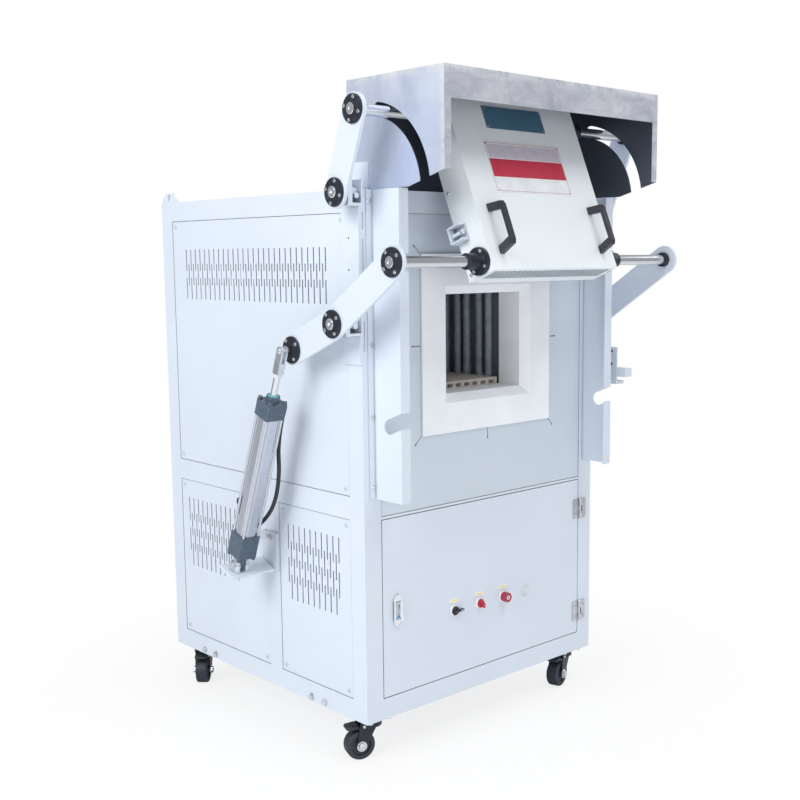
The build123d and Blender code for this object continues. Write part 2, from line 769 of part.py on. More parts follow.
CHAMBER_START = FRONT + JAMB_DEPTH
CHAMBER_END = CHAMBER_START + CHAMBER_LENGTH
LINING_FRONT = FRONT + MOUTH_FRAME_DEPTH
LINING_HALF = CHAMBER_WIDTH / 2.0 + LINING_WALL
ROD_X = CHAMBER_WIDTH / 2.0 - ROD_WALL_GAP - ROD_RADIUS


def rod_leg_places():
    """Plan positions of the legs of every heating rod on the right."""
    places = []
    for number in range(ROD_COUNT):
        for leg in (0, 1):
            y = FRONT + ROD_FIRST_DEPTH + number * ROD_PITCH + leg * ROD_LEG_SPACING
            places.append((ROD_X, y))
    return places


def chamber_lining():
    """Fibre board box round the heating chamber."""
    with BuildPart() as lining:
        block(
            (-LINING_HALF, LINING_HALF),
            (LINING_FRONT, CHAMBER_END + LINING_WALL),
            (BASE + CHAMBER_BOTTOM - LINING_WALL, BASE + CHAMBER_TOP + LINING_WALL),
        )
        block(
            (-THROAT_HALF, THROAT_HALF),
            (LINING_FRONT, CHAMBER_START),
            (BASE + THROAT_BOTTOM, BASE + THROAT_TOP),
            Mode.SUBTRACT,
        )
        block(
            (-CHAMBER_WIDTH / 2.0, CHAMBER_WIDTH / 2.0),
            (CHAMBER_START, CHAMBER_END),
            (BASE + CHAMBER_BOTTOM, BASE + CHAMBER_TOP),
            Mode.SUBTRACT,
        )
        for x, y in rod_leg_places():
            for side in (-x, x):
                bar_along_z(
                    side,
                    y,
                    BASE + CHAMBER_TOP,
                    BASE + CHAMBER_TOP + LINING_WALL,
                    ROD_RADIUS + ROD_CLEARANCE,
                    Mode.SUBTRACT,
                )
        bar_along_y(
            0.0,
            CHAMBER_END,
            CHAMBER_END + LINING_WALL,
            BASE + PROBE_HEIGHT,
            PROBE_RADIUS + ROD_CLEARANCE,
            Mode.SUBTRACT,
        )
    return lining


def heating_elements():
    """Hairpin rods that hang along both side walls, with their ends above the lining."""
    with BuildPart() as hairpin:
        bend = ROD_LEG_SPACING / 2.0
        with BuildLine(Plane.YZ) as route:
            Line((0.0, ROD_TOP - ROD_BOTTOM), (0.0, bend))
            CenterArc((bend, bend), bend, 180.0, 180.0)
            Line((2.0 * bend, bend), (2.0 * bend, ROD_TOP - ROD_BOTTOM))
        start = Plane((0.0, 0.0, ROD_TOP - ROD_BOTTOM), x_dir=(1, 0, 0), z_dir=(0, 0, -1))
        with BuildSketch(start):
            Circle(ROD_RADIUS)
        sweep(path=route.line)
    with BuildPart() as rods:
        for number in range(ROD_COUNT):
            y = FRONT + ROD_FIRST_DEPTH + number * ROD_PITCH
            add(hairpin.part.moved(Location((ROD_X, y, BASE + ROD_BOTTOM))))
        mirror(about=Plane.YZ)
    return rods


def setter_plate():
    """Hearth plate with a row of through slots from front to back."""
    with BuildPart() as plate:
        block(
            (-SETTER_WIDTH / 2.0, SETTER_WIDTH / 2.0),
            (FRONT + SETTER_START, FRONT + SETTER_END),
            (BASE + CHAMBER_BOTTOM, BASE + CHAMBER_BOTTOM + SETTER_THICKNESS),
        )
        with BuildSketch(Plane.XZ.offset(-FRONT - SETTER_START)):
            with Locations((0.0, BASE + CHAMBER_BOTTOM + SETTER_THICKNESS / 2.0)):
                with GridLocations(SETTER_SLOT_PITCH, 0.0, SETTER_SLOT_COUNT, 1):
                    SlotOverall(SETTER_SLOT, SETTER_SLOT_HEIGHT)
        extrude(amount=-(SETTER_END - SETTER_START), mode=Mode.SUBTRACT)
    return plate


def thermocouple():
    """Sheathed probe through the rear wall, with its terminal head behind the lining."""
    back = CHAMBER_END + LINING_WALL
    with BuildPart() as probe:
        bar_along_y(0.0, CHAMBER_END - PROBE_REACH, back, BASE + PROBE_HEIGHT, PROBE_RADIUS)
        bar_along_y(0.0, back, back + PROBE_HEAD, BASE + PROBE_HEIGHT, PROBE_HEAD_RADIUS)
    return probe


def hood():
    """Stainless hood over the raised door, with an arc slot for each upper shaft."""
    outer = LEFT + HOOD_INSET
    back = FRONT + HOOD_REAR_DEPTH
    front = FRONT - HOOD_FRONT_REACH
    roof = BASE + HOOD_TOP
    pivot_y, pivot_z = in_plan(UPPER_PIVOT)
    with BuildPart() as cover:
        with BuildSketch(Plane.YZ.offset(outer)):
            with BuildLine():
                Polyline(
                    (back, TOP),
                    (back, roof),
                    (front, roof),
                    (front, TOP + HOOD_CHEEK_RISE),
                    (FRONT - HOOD_CHEEK_FLAT, TOP),
                    close=True,
                )
            make_face()
            with BuildLine(mode=Mode.PRIVATE) as slot_line:
                CenterArc(
                    (pivot_y, pivot_z),
                    UPPER_ARM,
                    HOOD_SLOT_START_ANGLE,
                    HOOD_SLOT_END_ANGLE - HOOD_SLOT_START_ANGLE,
                )
            SlotArc(
                slot_line.edge(), 2.0 * (SHAFT_RADIUS + HOOD_SLOT_GAP), mode=Mode.SUBTRACT
            )
        extrude(amount=HOOD_SHEET)
        block(
            (outer, outer + HOOD_RETURN),
            (front, front + HOOD_SHEET),
            (TOP + HOOD_CHEEK_RISE, roof),
        )
        mirror(about=Plane.YZ)
        block((outer, -outer), (front, back), (roof - HOOD_SHEET, roof))
        block((outer, -outer), (back - HOOD_SHEET, back), (TOP, roof))
        block((outer, -outer), (front, front + HOOD_SHEET), (roof - HOOD_FASCIA, roof))
    return cover


def notch(centre, slope):
    """The outline of a notch, open to the front, that a shaft swings into."""
    y, z = in_plan(centre)
    reach = 2.0 * CHANNEL_REACH
    with BuildSketch(Plane.YZ) as shape:
        with Locations(Location((y, z), slope)):
            Circle(NOTCH_RADIUS)
            with Locations((-reach / 2.0, 0.0)):
                Rectangle(reach, 2.0 * NOTCH_RADIUS)
    return shape.sketch


def guide_channel():
    """Folded channel on the left post, notched where the two closed shafts come to rest."""
    wall = LEFT + CHANNEL_WEB_INSET
    z = (BASE + CHANNEL_BOTTOM, BASE + CHANNEL_TOP)
    front = FRONT - CHANNEL_REACH
    with BuildPart() as channel:
        block((LEFT + CHANNEL_FLANGE_INSET, wall), (FRONT - CHANNEL_SHEET, FRONT), z)
        block((wall, wall + CHANNEL_SHEET), (front, FRONT), z)
        block((wall, wall + CHANNEL_LIP), (front, front + CHANNEL_SHEET), z)
        for centre, slope in (
            (LOWER_HUB_CLOSED, -LOWER_NOTCH_ANGLE),
            (UPPER_HUB_CLOSED, -UPPER_NOTCH_ANGLE),
        ):
            outline = notch(centre, slope)
            extrude(outline, amount=WIDTH, dir=(-1, 0, 0), mode=Mode.SUBTRACT)
    return channel


def pivot_bracket(pivot, arm_x):
    """Clamp bracket on the left side with the stub axle that an arm turns on."""
    y, z = in_plan(pivot)
    outer = boss_inner(arm_x) + PIVOT_BLOCK_GAP
    half = PIVOT_BLOCK_HEIGHT / 2.0
    with BuildPart() as bracket:
        deep = PIVOT_BLOCK_DEPTH / 2.0
        block((outer, LEFT), (y - deep, y + deep), (z - half, z + half))
        block(
            (outer + PIVOT_BLOCK_WALL, LEFT - PIVOT_BLOCK_WALL / 2.0),
            (y - deep, y + deep - PIVOT_BLOCK_WALL),
            (z - half + PIVOT_BLOCK_WALL / 2.0, z + half),
            Mode.SUBTRACT,
        )
        bar_along_x(boss_outer(arm_x) - SHAFT_PROUD, LEFT, y, z, SHAFT_RADIUS)
        bar_along_y(
            (outer + LEFT + PIVOT_BLOCK_WALL / 2.0) / 2.0,
            y - PIVOT_BLOCK_DEPTH / 2.0,
            y,
            z - SHAFT_RADIUS / 2.0,
            PIVOT_BOLT_RADIUS,
        )
    return bracket


def pivot_brackets():
    """Both brackets of a side stand on one plate along the front post."""
    sheet = (LEFT - PIVOT_PLATE_SHEET, LEFT)
    with BuildPart() as brackets:
        block(sheet, (FRONT, FRONT + PIVOT_PLATE_LENGTH), (BASE + PIVOT_PLATE_BOTTOM, TOP))
        for height in PIVOT_PLATE_HOLES:
            bar_along_x(
                *sheet,
                FRONT + PIVOT_PLATE_HOLE_DEPTH,
                BASE + height,
                PIVOT_PLATE_HOLE_RADIUS,
                Mode.SUBTRACT,
            )
        add(pivot_bracket(LOWER_PIVOT, LOWER_ARM_X).part)
        add(pivot_bracket(UPPER_PIVOT, UPPER_ARM_X).part)
        mirror(about=Plane.YZ)
    return brackets


def flange_place(centre):
    y, z = in_plan(centre)
    return Location((0.0, y, z))


def flange_bearing(arm_x, screw_angle, bore):
    """Round flange bearing on the outside of an arm, about the x axis."""
    seat = arm_outer(arm_x)
    outer = boss_outer(arm_x)
    inner = boss_inner(arm_x)
    with BuildPart() as bearing:
        bar_along_x(seat - FLANGE_SHEET, seat, 0.0, 0.0, FLANGE_RADIUS)
        bar_along_x(outer, inner, 0.0, 0.0, BOSS_RADIUS)
        with Locations(Location((seat - FLANGE_SHEET, 0.0, 0.0), (0, 90, 0))):
            with PolarLocations(FLANGE_SCREW_CIRCLE, 4, start_angle=screw_angle):
                Cylinder(FLANGE_SCREW_RADIUS, 2.0 * FLANGE_SCREW_HEAD)
        if bore:
            bar_along_x(outer, inner, 0.0, 0.0, bore, Mode.SUBTRACT)
    return bearing


def arm_plate(arm_x, spans):
    """Arm plate made of straight spans between its bearing seats, each (start, end)."""
    with BuildPart() as plate:
        with BuildSketch(Plane.YZ.offset(arm_outer(arm_x))):
            for start, end in spans:
                length = distance(start, end)
                with Locations(Location(in_plan(start), heading(start, end))):
                    with Locations((length / 2.0, 0.0)):
                        SlotOverall(length + 2.0 * ARM_RADIUS, 2.0 * ARM_RADIUS)
            seats = {point for span in spans for point in span}
            with Locations(*[in_plan(seat) for seat in sorted(seats)]):
                Circle(BOSS_RADIUS, mode=Mode.SUBTRACT)
        extrude(amount=ARM_SHEET)
    return plate


LOWER_SPANS = ((LOWER_PIVOT, LOWER_HUB_OPEN), (LOWER_PIVOT, CRANK_PIN_OPEN))
UPPER_SPANS = ((UPPER_PIVOT, UPPER_HUB_OPEN),)


def arm_bearings(arm_x, screw_angle, seats):
    """The flange bearings of one pair of arms, each seat with its bore radius."""
    with BuildPart() as bearings:
        for centre, bore in seats:
            bearing = flange_bearing(arm_x, screw_angle, bore)
            add(bearing.part.moved(flange_place(centre)))
        mirror(about=Plane.YZ)
    return bearings


def upper_shaft():
    """Shaft of an upper arm. It stops just short of the door's upper hub."""
    y, z = in_plan(UPPER_HUB_OPEN)
    with BuildPart() as shaft:
        outer = boss_outer(UPPER_ARM_X) - SHAFT_PROUD
        bar_along_x(outer, HUB_END - OPEN_PIVOT_GAP, y, z, SHAFT_RADIUS)
    return shaft


DOOR_PLACE = Location((0.0, *in_plan(LOWER_HUB_OPEN)), (-DOOR_TILT_ANGLE, 0, 0))


def door_shell():
    """Sheet case of the lift door, open at the back, with a perforated underside."""
    low = -DOOR_BELOW_HUB
    with BuildPart() as case:
        block(
            (DOOR_SIDE, -DOOR_SIDE),
            (-DOOR_FRONT, DOOR_REAR),
            (low, DOOR_ABOVE_HUB),
        )
        block(
            (DOOR_SIDE + DOOR_SHEET, -DOOR_SIDE - DOOR_SHEET),
            (-DOOR_FRONT + DOOR_SHEET, DOOR_REAR),
            (low + DOOR_SHEET, DOOR_ABOVE_HUB - DOOR_SHEET),
            Mode.SUBTRACT,
        )
        with BuildSketch(Plane.XY.offset(low)):
            with GridLocations(
                DOOR_VENT_PITCH_X, DOOR_VENT_PITCH_Y, DOOR_VENT_COLUMNS, DOOR_VENT_ROWS
            ):
                Rectangle(DOOR_VENT_SLOT, DOOR_VENT_WIDTH)
        extrude(amount=DOOR_SHEET, mode=Mode.SUBTRACT)
    return case


def door_insulation():
    """Fibre block that fills the door and closes the mouth."""
    with BuildPart() as fill:
        block(
            (DOOR_SIDE + DOOR_SHEET, -DOOR_SIDE - DOOR_SHEET),
            (-DOOR_FRONT + DOOR_SHEET + DOOR_AIR_GAP, DOOR_REAR),
            (-DOOR_BELOW_HUB + DOOR_SHEET + DOOR_AIR_GAP, DOOR_ABOVE_HUB - DOOR_SHEET),
        )
    return fill


def door_handles():
    """Two bridge handles on the front of the lift door."""
    face = -DOOR_FRONT
    low = HANDLE_FOOT - HANDLE_OVERHANG
    high = HANDLE_FOOT + HANDLE_SPACING + HANDLE_OVERHANG
    with BuildPart() as handle:
        with BuildSketch(Plane.YZ.offset(-HANDLE_X - HANDLE_WIDTH / 2.0)):
            with BuildLine():
                Polyline(
                    (face, low),
                    (face - HANDLE_STANDOFF - HANDLE_GRIP / 2.0, low + HANDLE_OVERHANG),
                    (face - HANDLE_STANDOFF - HANDLE_GRIP, low + 2.0 * HANDLE_OVERHANG),
                    (face - HANDLE_STANDOFF - HANDLE_GRIP, high - 2.0 * HANDLE_OVERHANG),
                    (face - HANDLE_STANDOFF - HANDLE_GRIP / 2.0, high - HANDLE_OVERHANG),
                    (face, high),
                    (face, high - 2.0 * HANDLE_OVERHANG),
                    (face - HANDLE_STANDOFF, high - 3.0 * HANDLE_OVERHANG),
                    (face - HANDLE_STANDOFF, low + 3.0 * HANDLE_OVERHANG),
                    (face, low + 2.0 * HANDLE_OVERHANG),
                    close=True,
                )
            make_face()
        extrude(amount=HANDLE_WIDTH)
    return both_sides(handle)


def door_hub(height, bore):
    """Flanged hub on the left side of the lift door."""
    with BuildPart() as hub:
        bar_along_x(DOOR_SIDE - HUB_FLANGE, DOOR_SIDE, 0.0, height, FLANGE_RADIUS)
        bar_along_x(HUB_END, DOOR_SIDE, 0.0, height, BOSS_RADIUS)
        bar_along_x(HUB_END, DOOR_SIDE, 0.0, height, bore, Mode.SUBTRACT)
        with Locations(Location((DOOR_SIDE - HUB_FLANGE, 0.0, height), (0, 90, 0))):
            with PolarLocations(FLANGE_SCREW_CIRCLE, 4, start_angle=HUB_SCREW_ANGLE):
                Cylinder(FLANGE_SCREW_RADIUS, 2.0 * FLANGE_SCREW_HEAD)
    return hub


def door_hubs():
    with BuildPart() as hubs:
        add(door_hub(0.0, SHAFT_RADIUS).part)
        add(door_hub(HUB_SPACING, SHAFT_RADIUS + RUNNING_GAP).part)
        mirror(about=Plane.YZ)
    return hubs


def door_shafts():
    """Lower shafts, fixed in the lower hubs and turning in the lower arms."""
    with BuildPart() as shaft:
        outer = boss_outer(LOWER_ARM_X) - SHAFT_PROUD
        bar_along_x(outer, DOOR_SIDE, 0.0, 0.0, SHAFT_RADIUS)
    return both_sides(shaft)


def door_nameplates():
    """Two bare plates on the front of the lift door."""
    y = (-DOOR_FRONT - NAMEPLATE_SHEET, -DOOR_FRONT)
    with BuildPart() as plates:
        for left, width, bottom, tall in (
            (UPPER_PLATE_LEFT, UPPER_PLATE_WIDTH, UPPER_PLATE_BOTTOM, UPPER_PLATE_HEIGHT),
            (LOWER_PLATE_LEFT, LOWER_PLATE_WIDTH, LOWER_PLATE_BOTTOM, LOWER_PLATE_HEIGHT),
        ):
            block((left, left + width), y, (bottom, bottom + tall))
    return plates


def door_stop_brackets():
    """Open brackets on the door's sides with the screws that set how far it closes."""
    outer = DOOR_SIDE - STOP_BRACKET_OUT
    sheet = STOP_BRACKET_SHEET
    back = DOOR_REAR
    front = back - STOP_BRACKET_LENGTH
    z = (STOP_BRACKET_BOTTOM, STOP_BRACKET_BOTTOM + STOP_BRACKET_HEIGHT)
    middle = (z[0] + z[1]) / 2.0
    tip = PANEL_RECESS - LOWER_HUB_CLOSED[0] - STOP_GAP
    screw_x = (outer + DOOR_SIDE) / 2.0
    with BuildPart() as bracket:
        block((outer, DOOR_SIDE), (front, back), z)
        block(
            (outer, DOOR_SIDE - sheet),
            (front, back - sheet),
            (z[0] + sheet, z[1] - sheet),
            Mode.SUBTRACT,
        )
        bar_along_y(screw_x, front + STOP_SCREW_HEAD, tip, middle, STOP_SCREW_RADIUS)
        bar_along_y(
            screw_x, back - 3.0 * sheet, back - sheet, middle, STOP_SCREW_HEAD
        )
    return both_sides(bracket)


CYLINDER_PLACE = Location((CYLINDER_X, *in_plan(CYLINDER_PIN)), (CYLINDER_LEAN, 0, 0))
FITTING_ALONG = (FRONT_CAP_START + FRONT_CAP_END) / 2.0


def tie_rod_places():
    return GridLocations(2.0 * TIE_ROD_OFFSET, 2.0 * TIE_ROD_OFFSET, 2, 2)


def cylinder_tube():
    """Chamfered square tube with a round bore."""
    with BuildPart() as tube:
        with BuildSketch(Plane.XY.offset(REAR_CAP_END)) as profile:
            Rectangle(TUBE_WIDTH, TUBE_WIDTH)
            chamfer(profile.vertices(), TUBE_CHAMFER)
            Circle(TUBE_BORE, mode=Mode.SUBTRACT)
        extrude(amount=FRONT_CAP_START - REAR_CAP_END)
    return tube


def cylinder_caps():
    """Both end caps, the tie rods between them, the rod gland and the rear tongue."""
    with BuildPart() as caps:
        for start, end in ((REAR_CAP_START, REAR_CAP_END), (FRONT_CAP_START, FRONT_CAP_END)):
            with BuildSketch(Plane.XY.offset(start)):
                RectangleRounded(CAP_WIDTH, CAP_WIDTH, TIE_ROD_RADIUS)
            extrude(amount=end - start)
        with BuildSketch(Plane.XY.offset(REAR_CAP_START - TIE_ROD_NUT)):
            with tie_rod_places():
                RegularPolygon(TIE_ROD_NUT_RADIUS * 0.95, 6)
        extrude(amount=TIE_ROD_NUT)
        with BuildSketch(Plane.XY.offset(FRONT_CAP_END)):
            with tie_rod_places():
                RegularPolygon(TIE_ROD_NUT_RADIUS * 0.95, 6)
        extrude(amount=TIE_ROD_NUT)
        with BuildSketch(Plane.XY.offset(REAR_CAP_END)):
            with tie_rod_places():
                Circle(TIE_ROD_RADIUS)
        extrude(amount=FRONT_CAP_START - REAR_CAP_END)
        bar_along_z(0.0, 0.0, FRONT_CAP_END, FRONT_CAP_END + GLAND_LENGTH, GLAND_RADIUS)
        bar_along_z(
            0.0,
            0.0,
            FRONT_CAP_START,
            FRONT_CAP_END + GLAND_LENGTH,
            ROD_SHAFT_RADIUS + RUNNING_GAP,
            Mode.SUBTRACT,
        )
        block(
            (-TONGUE_SHEET / 2.0, TONGUE_SHEET / 2.0),
            (-TONGUE_RADIUS, TONGUE_RADIUS),
            (0.0, REAR_CAP_START),
        )
        bar_along_x(-TONGUE_SHEET / 2.0, TONGUE_SHEET / 2.0, 0.0, 0.0, TONGUE_RADIUS)
        bar_along_x(
            -TONGUE_SHEET / 2.0,
            TONGUE_SHEET / 2.0,
            0.0,
            0.0,
            REAR_PIN_RADIUS + RUNNING_GAP,
            Mode.SUBTRACT,
        )
        side = CAP_WIDTH / 2.0
        for along in (REAR_FITTING, FITTING_ALONG):
            bar_along_x(side, side + FITTING_REACH, 0.0, along, FITTING_RADIUS)
        with Locations((side + FITTING_REACH, 0.0, FITTING_ALONG)):
            Sphere(FITTING_RADIUS)
        bar_along_z(
            side + FITTING_REACH,
            0.0,
            FITTING_ALONG - FITTING_LENGTH,
            FITTING_ALONG,
            FITTING_RADIUS,
        )
    return caps


def air_hose():
    """Hose from the front cap's fitting, behind the tube, to the gland in the cabinet."""
    out, depth, height = HOSE_END
    start = CYLINDER_X + CAP_WIDTH / 2.0 + FITTING_REACH
    along = FITTING_ALONG - FITTING_LENGTH - HOSE_END_GAP
    points = []
    for place in (along, along - HOSE_FIRST_RUN):
        y, z = in_plan(polar(CYLINDER_PIN, place, CYLINDER_LEAN + 90.0))
        points.append(Vector(start, y, z))
    for side, y, z in HOSE_BENDS:
        points.append(Vector(LEFT - side, FRONT + y, BASE + z))
    points.append(Vector(LEFT - out, FRONT + depth, BASE + height))
    runs = [(after - before).length for before, after in zip(points, points[1:])]
    radii = []
    for number in range(1, len(points) - 1):
        before = points[number] - points[number - 1]
        after = points[number + 1] - points[number]
        half_turn = radians(before.get_angle(after) / 2.0)
        radii.append(0.45 * min(runs[number - 1], runs[number]) / tan(half_turn))
    with BuildPart() as hose:
        with BuildLine() as route:
            FilletPolyline(*points, radius=radii)
        with BuildSketch(Plane(origin=points[0], z_dir=points[1] - points[0])):
            Circle(HOSE_RADIUS)
        sweep(path=route.line)
    length = route.wire().length
    section = pi * HOSE_RADIUS**2
    print("hose radii", [round(radius, 1) for radius in radii], "length", round(length, 1))
    print("hose volume by section and length", round(hose.part.volume / (section * length), 4))
    return hose


def hose_gland():
    """Bulkhead gland in the cabinet's side with an elbow that the hose ends in."""
    out, depth, height = HOSE_END
    last = HOSE_BENDS[-1]
    end = Vector(LEFT - out, FRONT + depth, BASE + height)
    way = Vector(last[0] - out, depth - last[1], height - last[2]).normalized()
    corner = end + way * GLAND_RISE
    skin = LEFT + PANEL_RECESS
    with BuildPart() as gland:
        with BuildSketch(Plane(origin=end, z_dir=way)):
            Circle(FITTING_RADIUS)
        extrude(amount=GLAND_RISE)
        with Locations(corner):
            Sphere(FITTING_RADIUS)
        bar_along_x(corner.X, skin, corner.Y, corner.Z, FITTING_RADIUS)
        with BuildSketch(Plane(origin=(skin, corner.Y, corner.Z), x_dir=(0, 1, 0), z_dir=(-1, 0, 0))):
            RegularPolygon(GLAND_RADIUS_OUT, 6)
        extrude(amount=GLAND_NUT)
    return gland


def piston_rod():
    """Rod with its piston in the tube and a lock nut under the clevis."""
    with BuildPart() as rod:
        bar_along_z(0.0, 0.0, PISTON_START, CLEVIS_START, ROD_SHAFT_RADIUS)
        bar_along_z(
            0.0, 0.0, PISTON_START, PISTON_START + PISTON_LENGTH, TUBE_BORE - RUNNING_GAP
        )
        with BuildSketch(Plane.XY.offset(CLEVIS_START - LOCK_NUT_LENGTH)):
            RegularPolygon(LOCK_NUT_RADIUS, 6)
        extrude(amount=LOCK_NUT_LENGTH)
    return rod


def rod_clevis():
    """Forked rod end with the pin that reaches for the crank's bearing."""
    half = CLEVIS_WIDTH / 2.0
    side = CLEVIS_DEPTH / 2.0
    reach = boss_outer(LOWER_ARM_X) - CYLINDER_X - OPEN_PIVOT_GAP
    with BuildPart() as fork:
        block((-half, half), (-side, side), (CLEVIS_START, CYLINDER_LENGTH))
        bar_along_x(-half, half, 0.0, CYLINDER_LENGTH, side)
        block(
            (-CLEVIS_SLOT / 2.0, CLEVIS_SLOT / 2.0),
            (-side, side),
            (CYLINDER_LENGTH - CLEVIS_SLOT_LENGTH, CYLINDER_LENGTH + side),
            Mode.SUBTRACT,
        )
        bar_along_x(-half - CLEVIS_PIN_HEAD, reach, 0.0, CYLINDER_LENGTH, CLEVIS_PIN_RADIUS)
    return fork


def cylinder_bracket():
    """Welded bracket under a cylinder, with ears and the rear pin."""
    slope = CYLINDER_LEAN
    half = BASE_PLATE_LENGTH / 2.0
    ear_inner = TONGUE_SHEET / 2.0 + EAR_GAP
    reach = BASE_PLATE_REACH - CYLINDER_STANDOFF
    with BuildPart() as tilted:
        block(
            (-reach, CYLINDER_STANDOFF),
            (-half, half),
            (-BASE_PLATE_DROP - BASE_PLATE_SHEET, -BASE_PLATE_DROP),
        )
        for x0 in (-ear_inner - EAR_SHEET, ear_inner):
            block(
                (x0, x0 + EAR_SHEET),
                (-EAR_WIDTH / 2.0, EAR_WIDTH / 2.0),
                (-BASE_PLATE_DROP, 0.0),
            )
            bar_along_x(x0, x0 + EAR_SHEET, 0.0, 0.0, EAR_RADIUS)
        bar_along_x(
            -ear_inner - EAR_SHEET - REAR_PIN_RADIUS / 2.0,
            ear_inner + EAR_SHEET + REAR_PIN_RADIUS / 2.0,
            0.0,
            0.0,
            REAR_PIN_RADIUS,
        )
    y, z = in_plan(CYLINDER_PIN)
    wall_z = z - BASE_PLATE_DROP - BASE_PLATE_LENGTH / 4.0
    with BuildPart() as bracket:
        add(tilted.part.moved(Location((CYLINDER_X, y, z), (slope, 0, 0))))
        block(
            (LEFT - BASE_PLATE_SHEET, LEFT),
            (y - WALL_PLATE_LENGTH / 2.0, y + WALL_PLATE_LENGTH / 2.0),
            (wall_z, wall_z + WALL_PLATE_HEIGHT),
        )
        bar_along_x(
            LEFT - BASE_PLATE_SHEET - FRAME_BOLT_HEAD,
            LEFT - BASE_PLATE_SHEET,
            y,
            wall_z + WALL_PLATE_HEIGHT - 2.0 * FRAME_BOLT_RADIUS,
            FRAME_BOLT_RADIUS,
        )
        block((LEFT, 0.0), (FRONT, REAR), (BASE, TOP), Mode.SUBTRACT)
    return both_sides(bracket)


def panel_screws():
    """Screw heads of the side panels, the channels and the caster bolts on the rail."""
    with BuildPart() as screws:
        for d0, d1, h0, h1 in (SIDE_UPPER, SIDE_FRONT, SIDE_REAR):
            for depth in (d0 + SCREW_EDGE, d1 - SCREW_EDGE):
                for height in (h0 + SCREW_EDGE, h1 - SCREW_EDGE):
                    bar_along_x(
                        LEFT + PANEL_RECESS - SCREW_HEAD,
                        LEFT + PANEL_RECESS,
                        FRONT + depth,
                        BASE + height,
                        SCREW_RADIUS,
                    )
        flange_middle = LEFT + (CHANNEL_FLANGE_INSET + CHANNEL_WEB_INSET) / 2.0
        for height in CHANNEL_SCREW_HEIGHTS:
            bar_along_y(
                flange_middle,
                FRONT - CHANNEL_SHEET - SCREW_HEAD,
                FRONT - CHANNEL_SHEET,
                BASE + height,
                SCREW_RADIUS,
            )
        for depth in RAIL_BOLT_DEPTHS:
            bar_along_x(
                LEFT - FRAME_BOLT_HEAD, LEFT, FRONT + depth, BASE + RAIL_BOLT_HEIGHT, FRAME_BOLT_RADIUS
            )
        mirror(about=Plane.YZ)
    return screws


LOCK_X = -FACE_HALF + LOCK_INSET
LOCK_MIDDLE = BASE + LOCK_BOTTOM + LOCK_HEIGHT / 2.0
LOCK_HANDLE_TOP = LOCK_MIDDLE + LOCK_HANDLE_HEIGHT / 2.0 - LOCK_TOP_GAP
LOCK_HANDLE_HALF = (LOCK_RECESS_GAP + LOCK_HANDLE_SHEET) / 2.0
LOCK_PIVOT_Y = FRONT - LOCK_PLATE - LOCK_RECESS_GAP + LOCK_HANDLE_HALF
LOCK_PIVOT_Z = LOCK_HANDLE_TOP - LOCK_HANDLE_HALF
LOCK_PIN_HALF = LOCK_HANDLE_WIDTH / 2.0 + LOCK_PIN_BEYOND


def cabinet_door():
    """Folded door of the switchgear cabinet, with holes for its controls and lock."""
    x = (-FACE_HALF + DOOR_SEAM, FACE_HALF - DOOR_SEAM)
    z = (BASE + FACE_LOWER[0] + DOOR_SEAM, BASE + FACE_LOWER[1] - DOOR_SEAM)
    with BuildPart() as door:
        block(x, (FRONT, FRONT + DOOR_PAN), z)
        block(
            (x[0] + PANEL_SHEET, x[1] - PANEL_SHEET),
            (FRONT + PANEL_SHEET, FRONT + DOOR_PAN),
            (z[0] + PANEL_SHEET, z[1] - PANEL_SHEET),
            Mode.SUBTRACT,
        )
        for device in (LEVER_X, KNOB_X, BUZZER_X, LAMP_X):
            bar_along_y(
                device,
                FRONT,
                FRONT + PANEL_SHEET,
                BASE + CONTROL_HEIGHT,
                DEVICE_BARREL_RADIUS,
                Mode.SUBTRACT,
            )
        block(
            (LOCK_X - LOCK_HANDLE_WIDTH / 2.0, LOCK_X + LOCK_HANDLE_WIDTH / 2.0),
            (FRONT, FRONT + PANEL_SHEET),
            (LOCK_MIDDLE - LOCK_HANDLE_HEIGHT / 2.0, LOCK_MIDDLE + LOCK_HANDLE_HEIGHT / 2.0),
            Mode.SUBTRACT,
        )
    return door


def door_lock():
    """Lock with a shallow well for its folding handle and its cam box behind the door."""
    well_x = (LOCK_X - LOCK_HANDLE_WIDTH / 2.0, LOCK_X + LOCK_HANDLE_WIDTH / 2.0)
    well_z = (LOCK_MIDDLE - LOCK_HANDLE_HEIGHT / 2.0, LOCK_MIDDLE + LOCK_HANDLE_HEIGHT / 2.0)
    with BuildPart() as lock:
        with BuildSketch(Plane.XZ.offset(-FRONT)):
            with Locations((LOCK_X, LOCK_MIDDLE)):
                SlotOverall(LOCK_HEIGHT, LOCK_WIDTH, rotation=90)
        extrude(amount=LOCK_PLATE)
        block(well_x, (FRONT, FRONT + LOCK_BODY), well_z)
        block(well_x, (FRONT - LOCK_PLATE, FRONT), well_z, Mode.SUBTRACT)
        bar_along_x(
            LOCK_X - LOCK_PIN_HALF - LOCK_RECESS_GAP,
            LOCK_X + LOCK_PIN_HALF + LOCK_RECESS_GAP,
            LOCK_PIVOT_Y,
            LOCK_PIVOT_Z,
            LOCK_PIN_RADIUS + RUNNING_GAP,
            Mode.SUBTRACT,
        )
    return lock


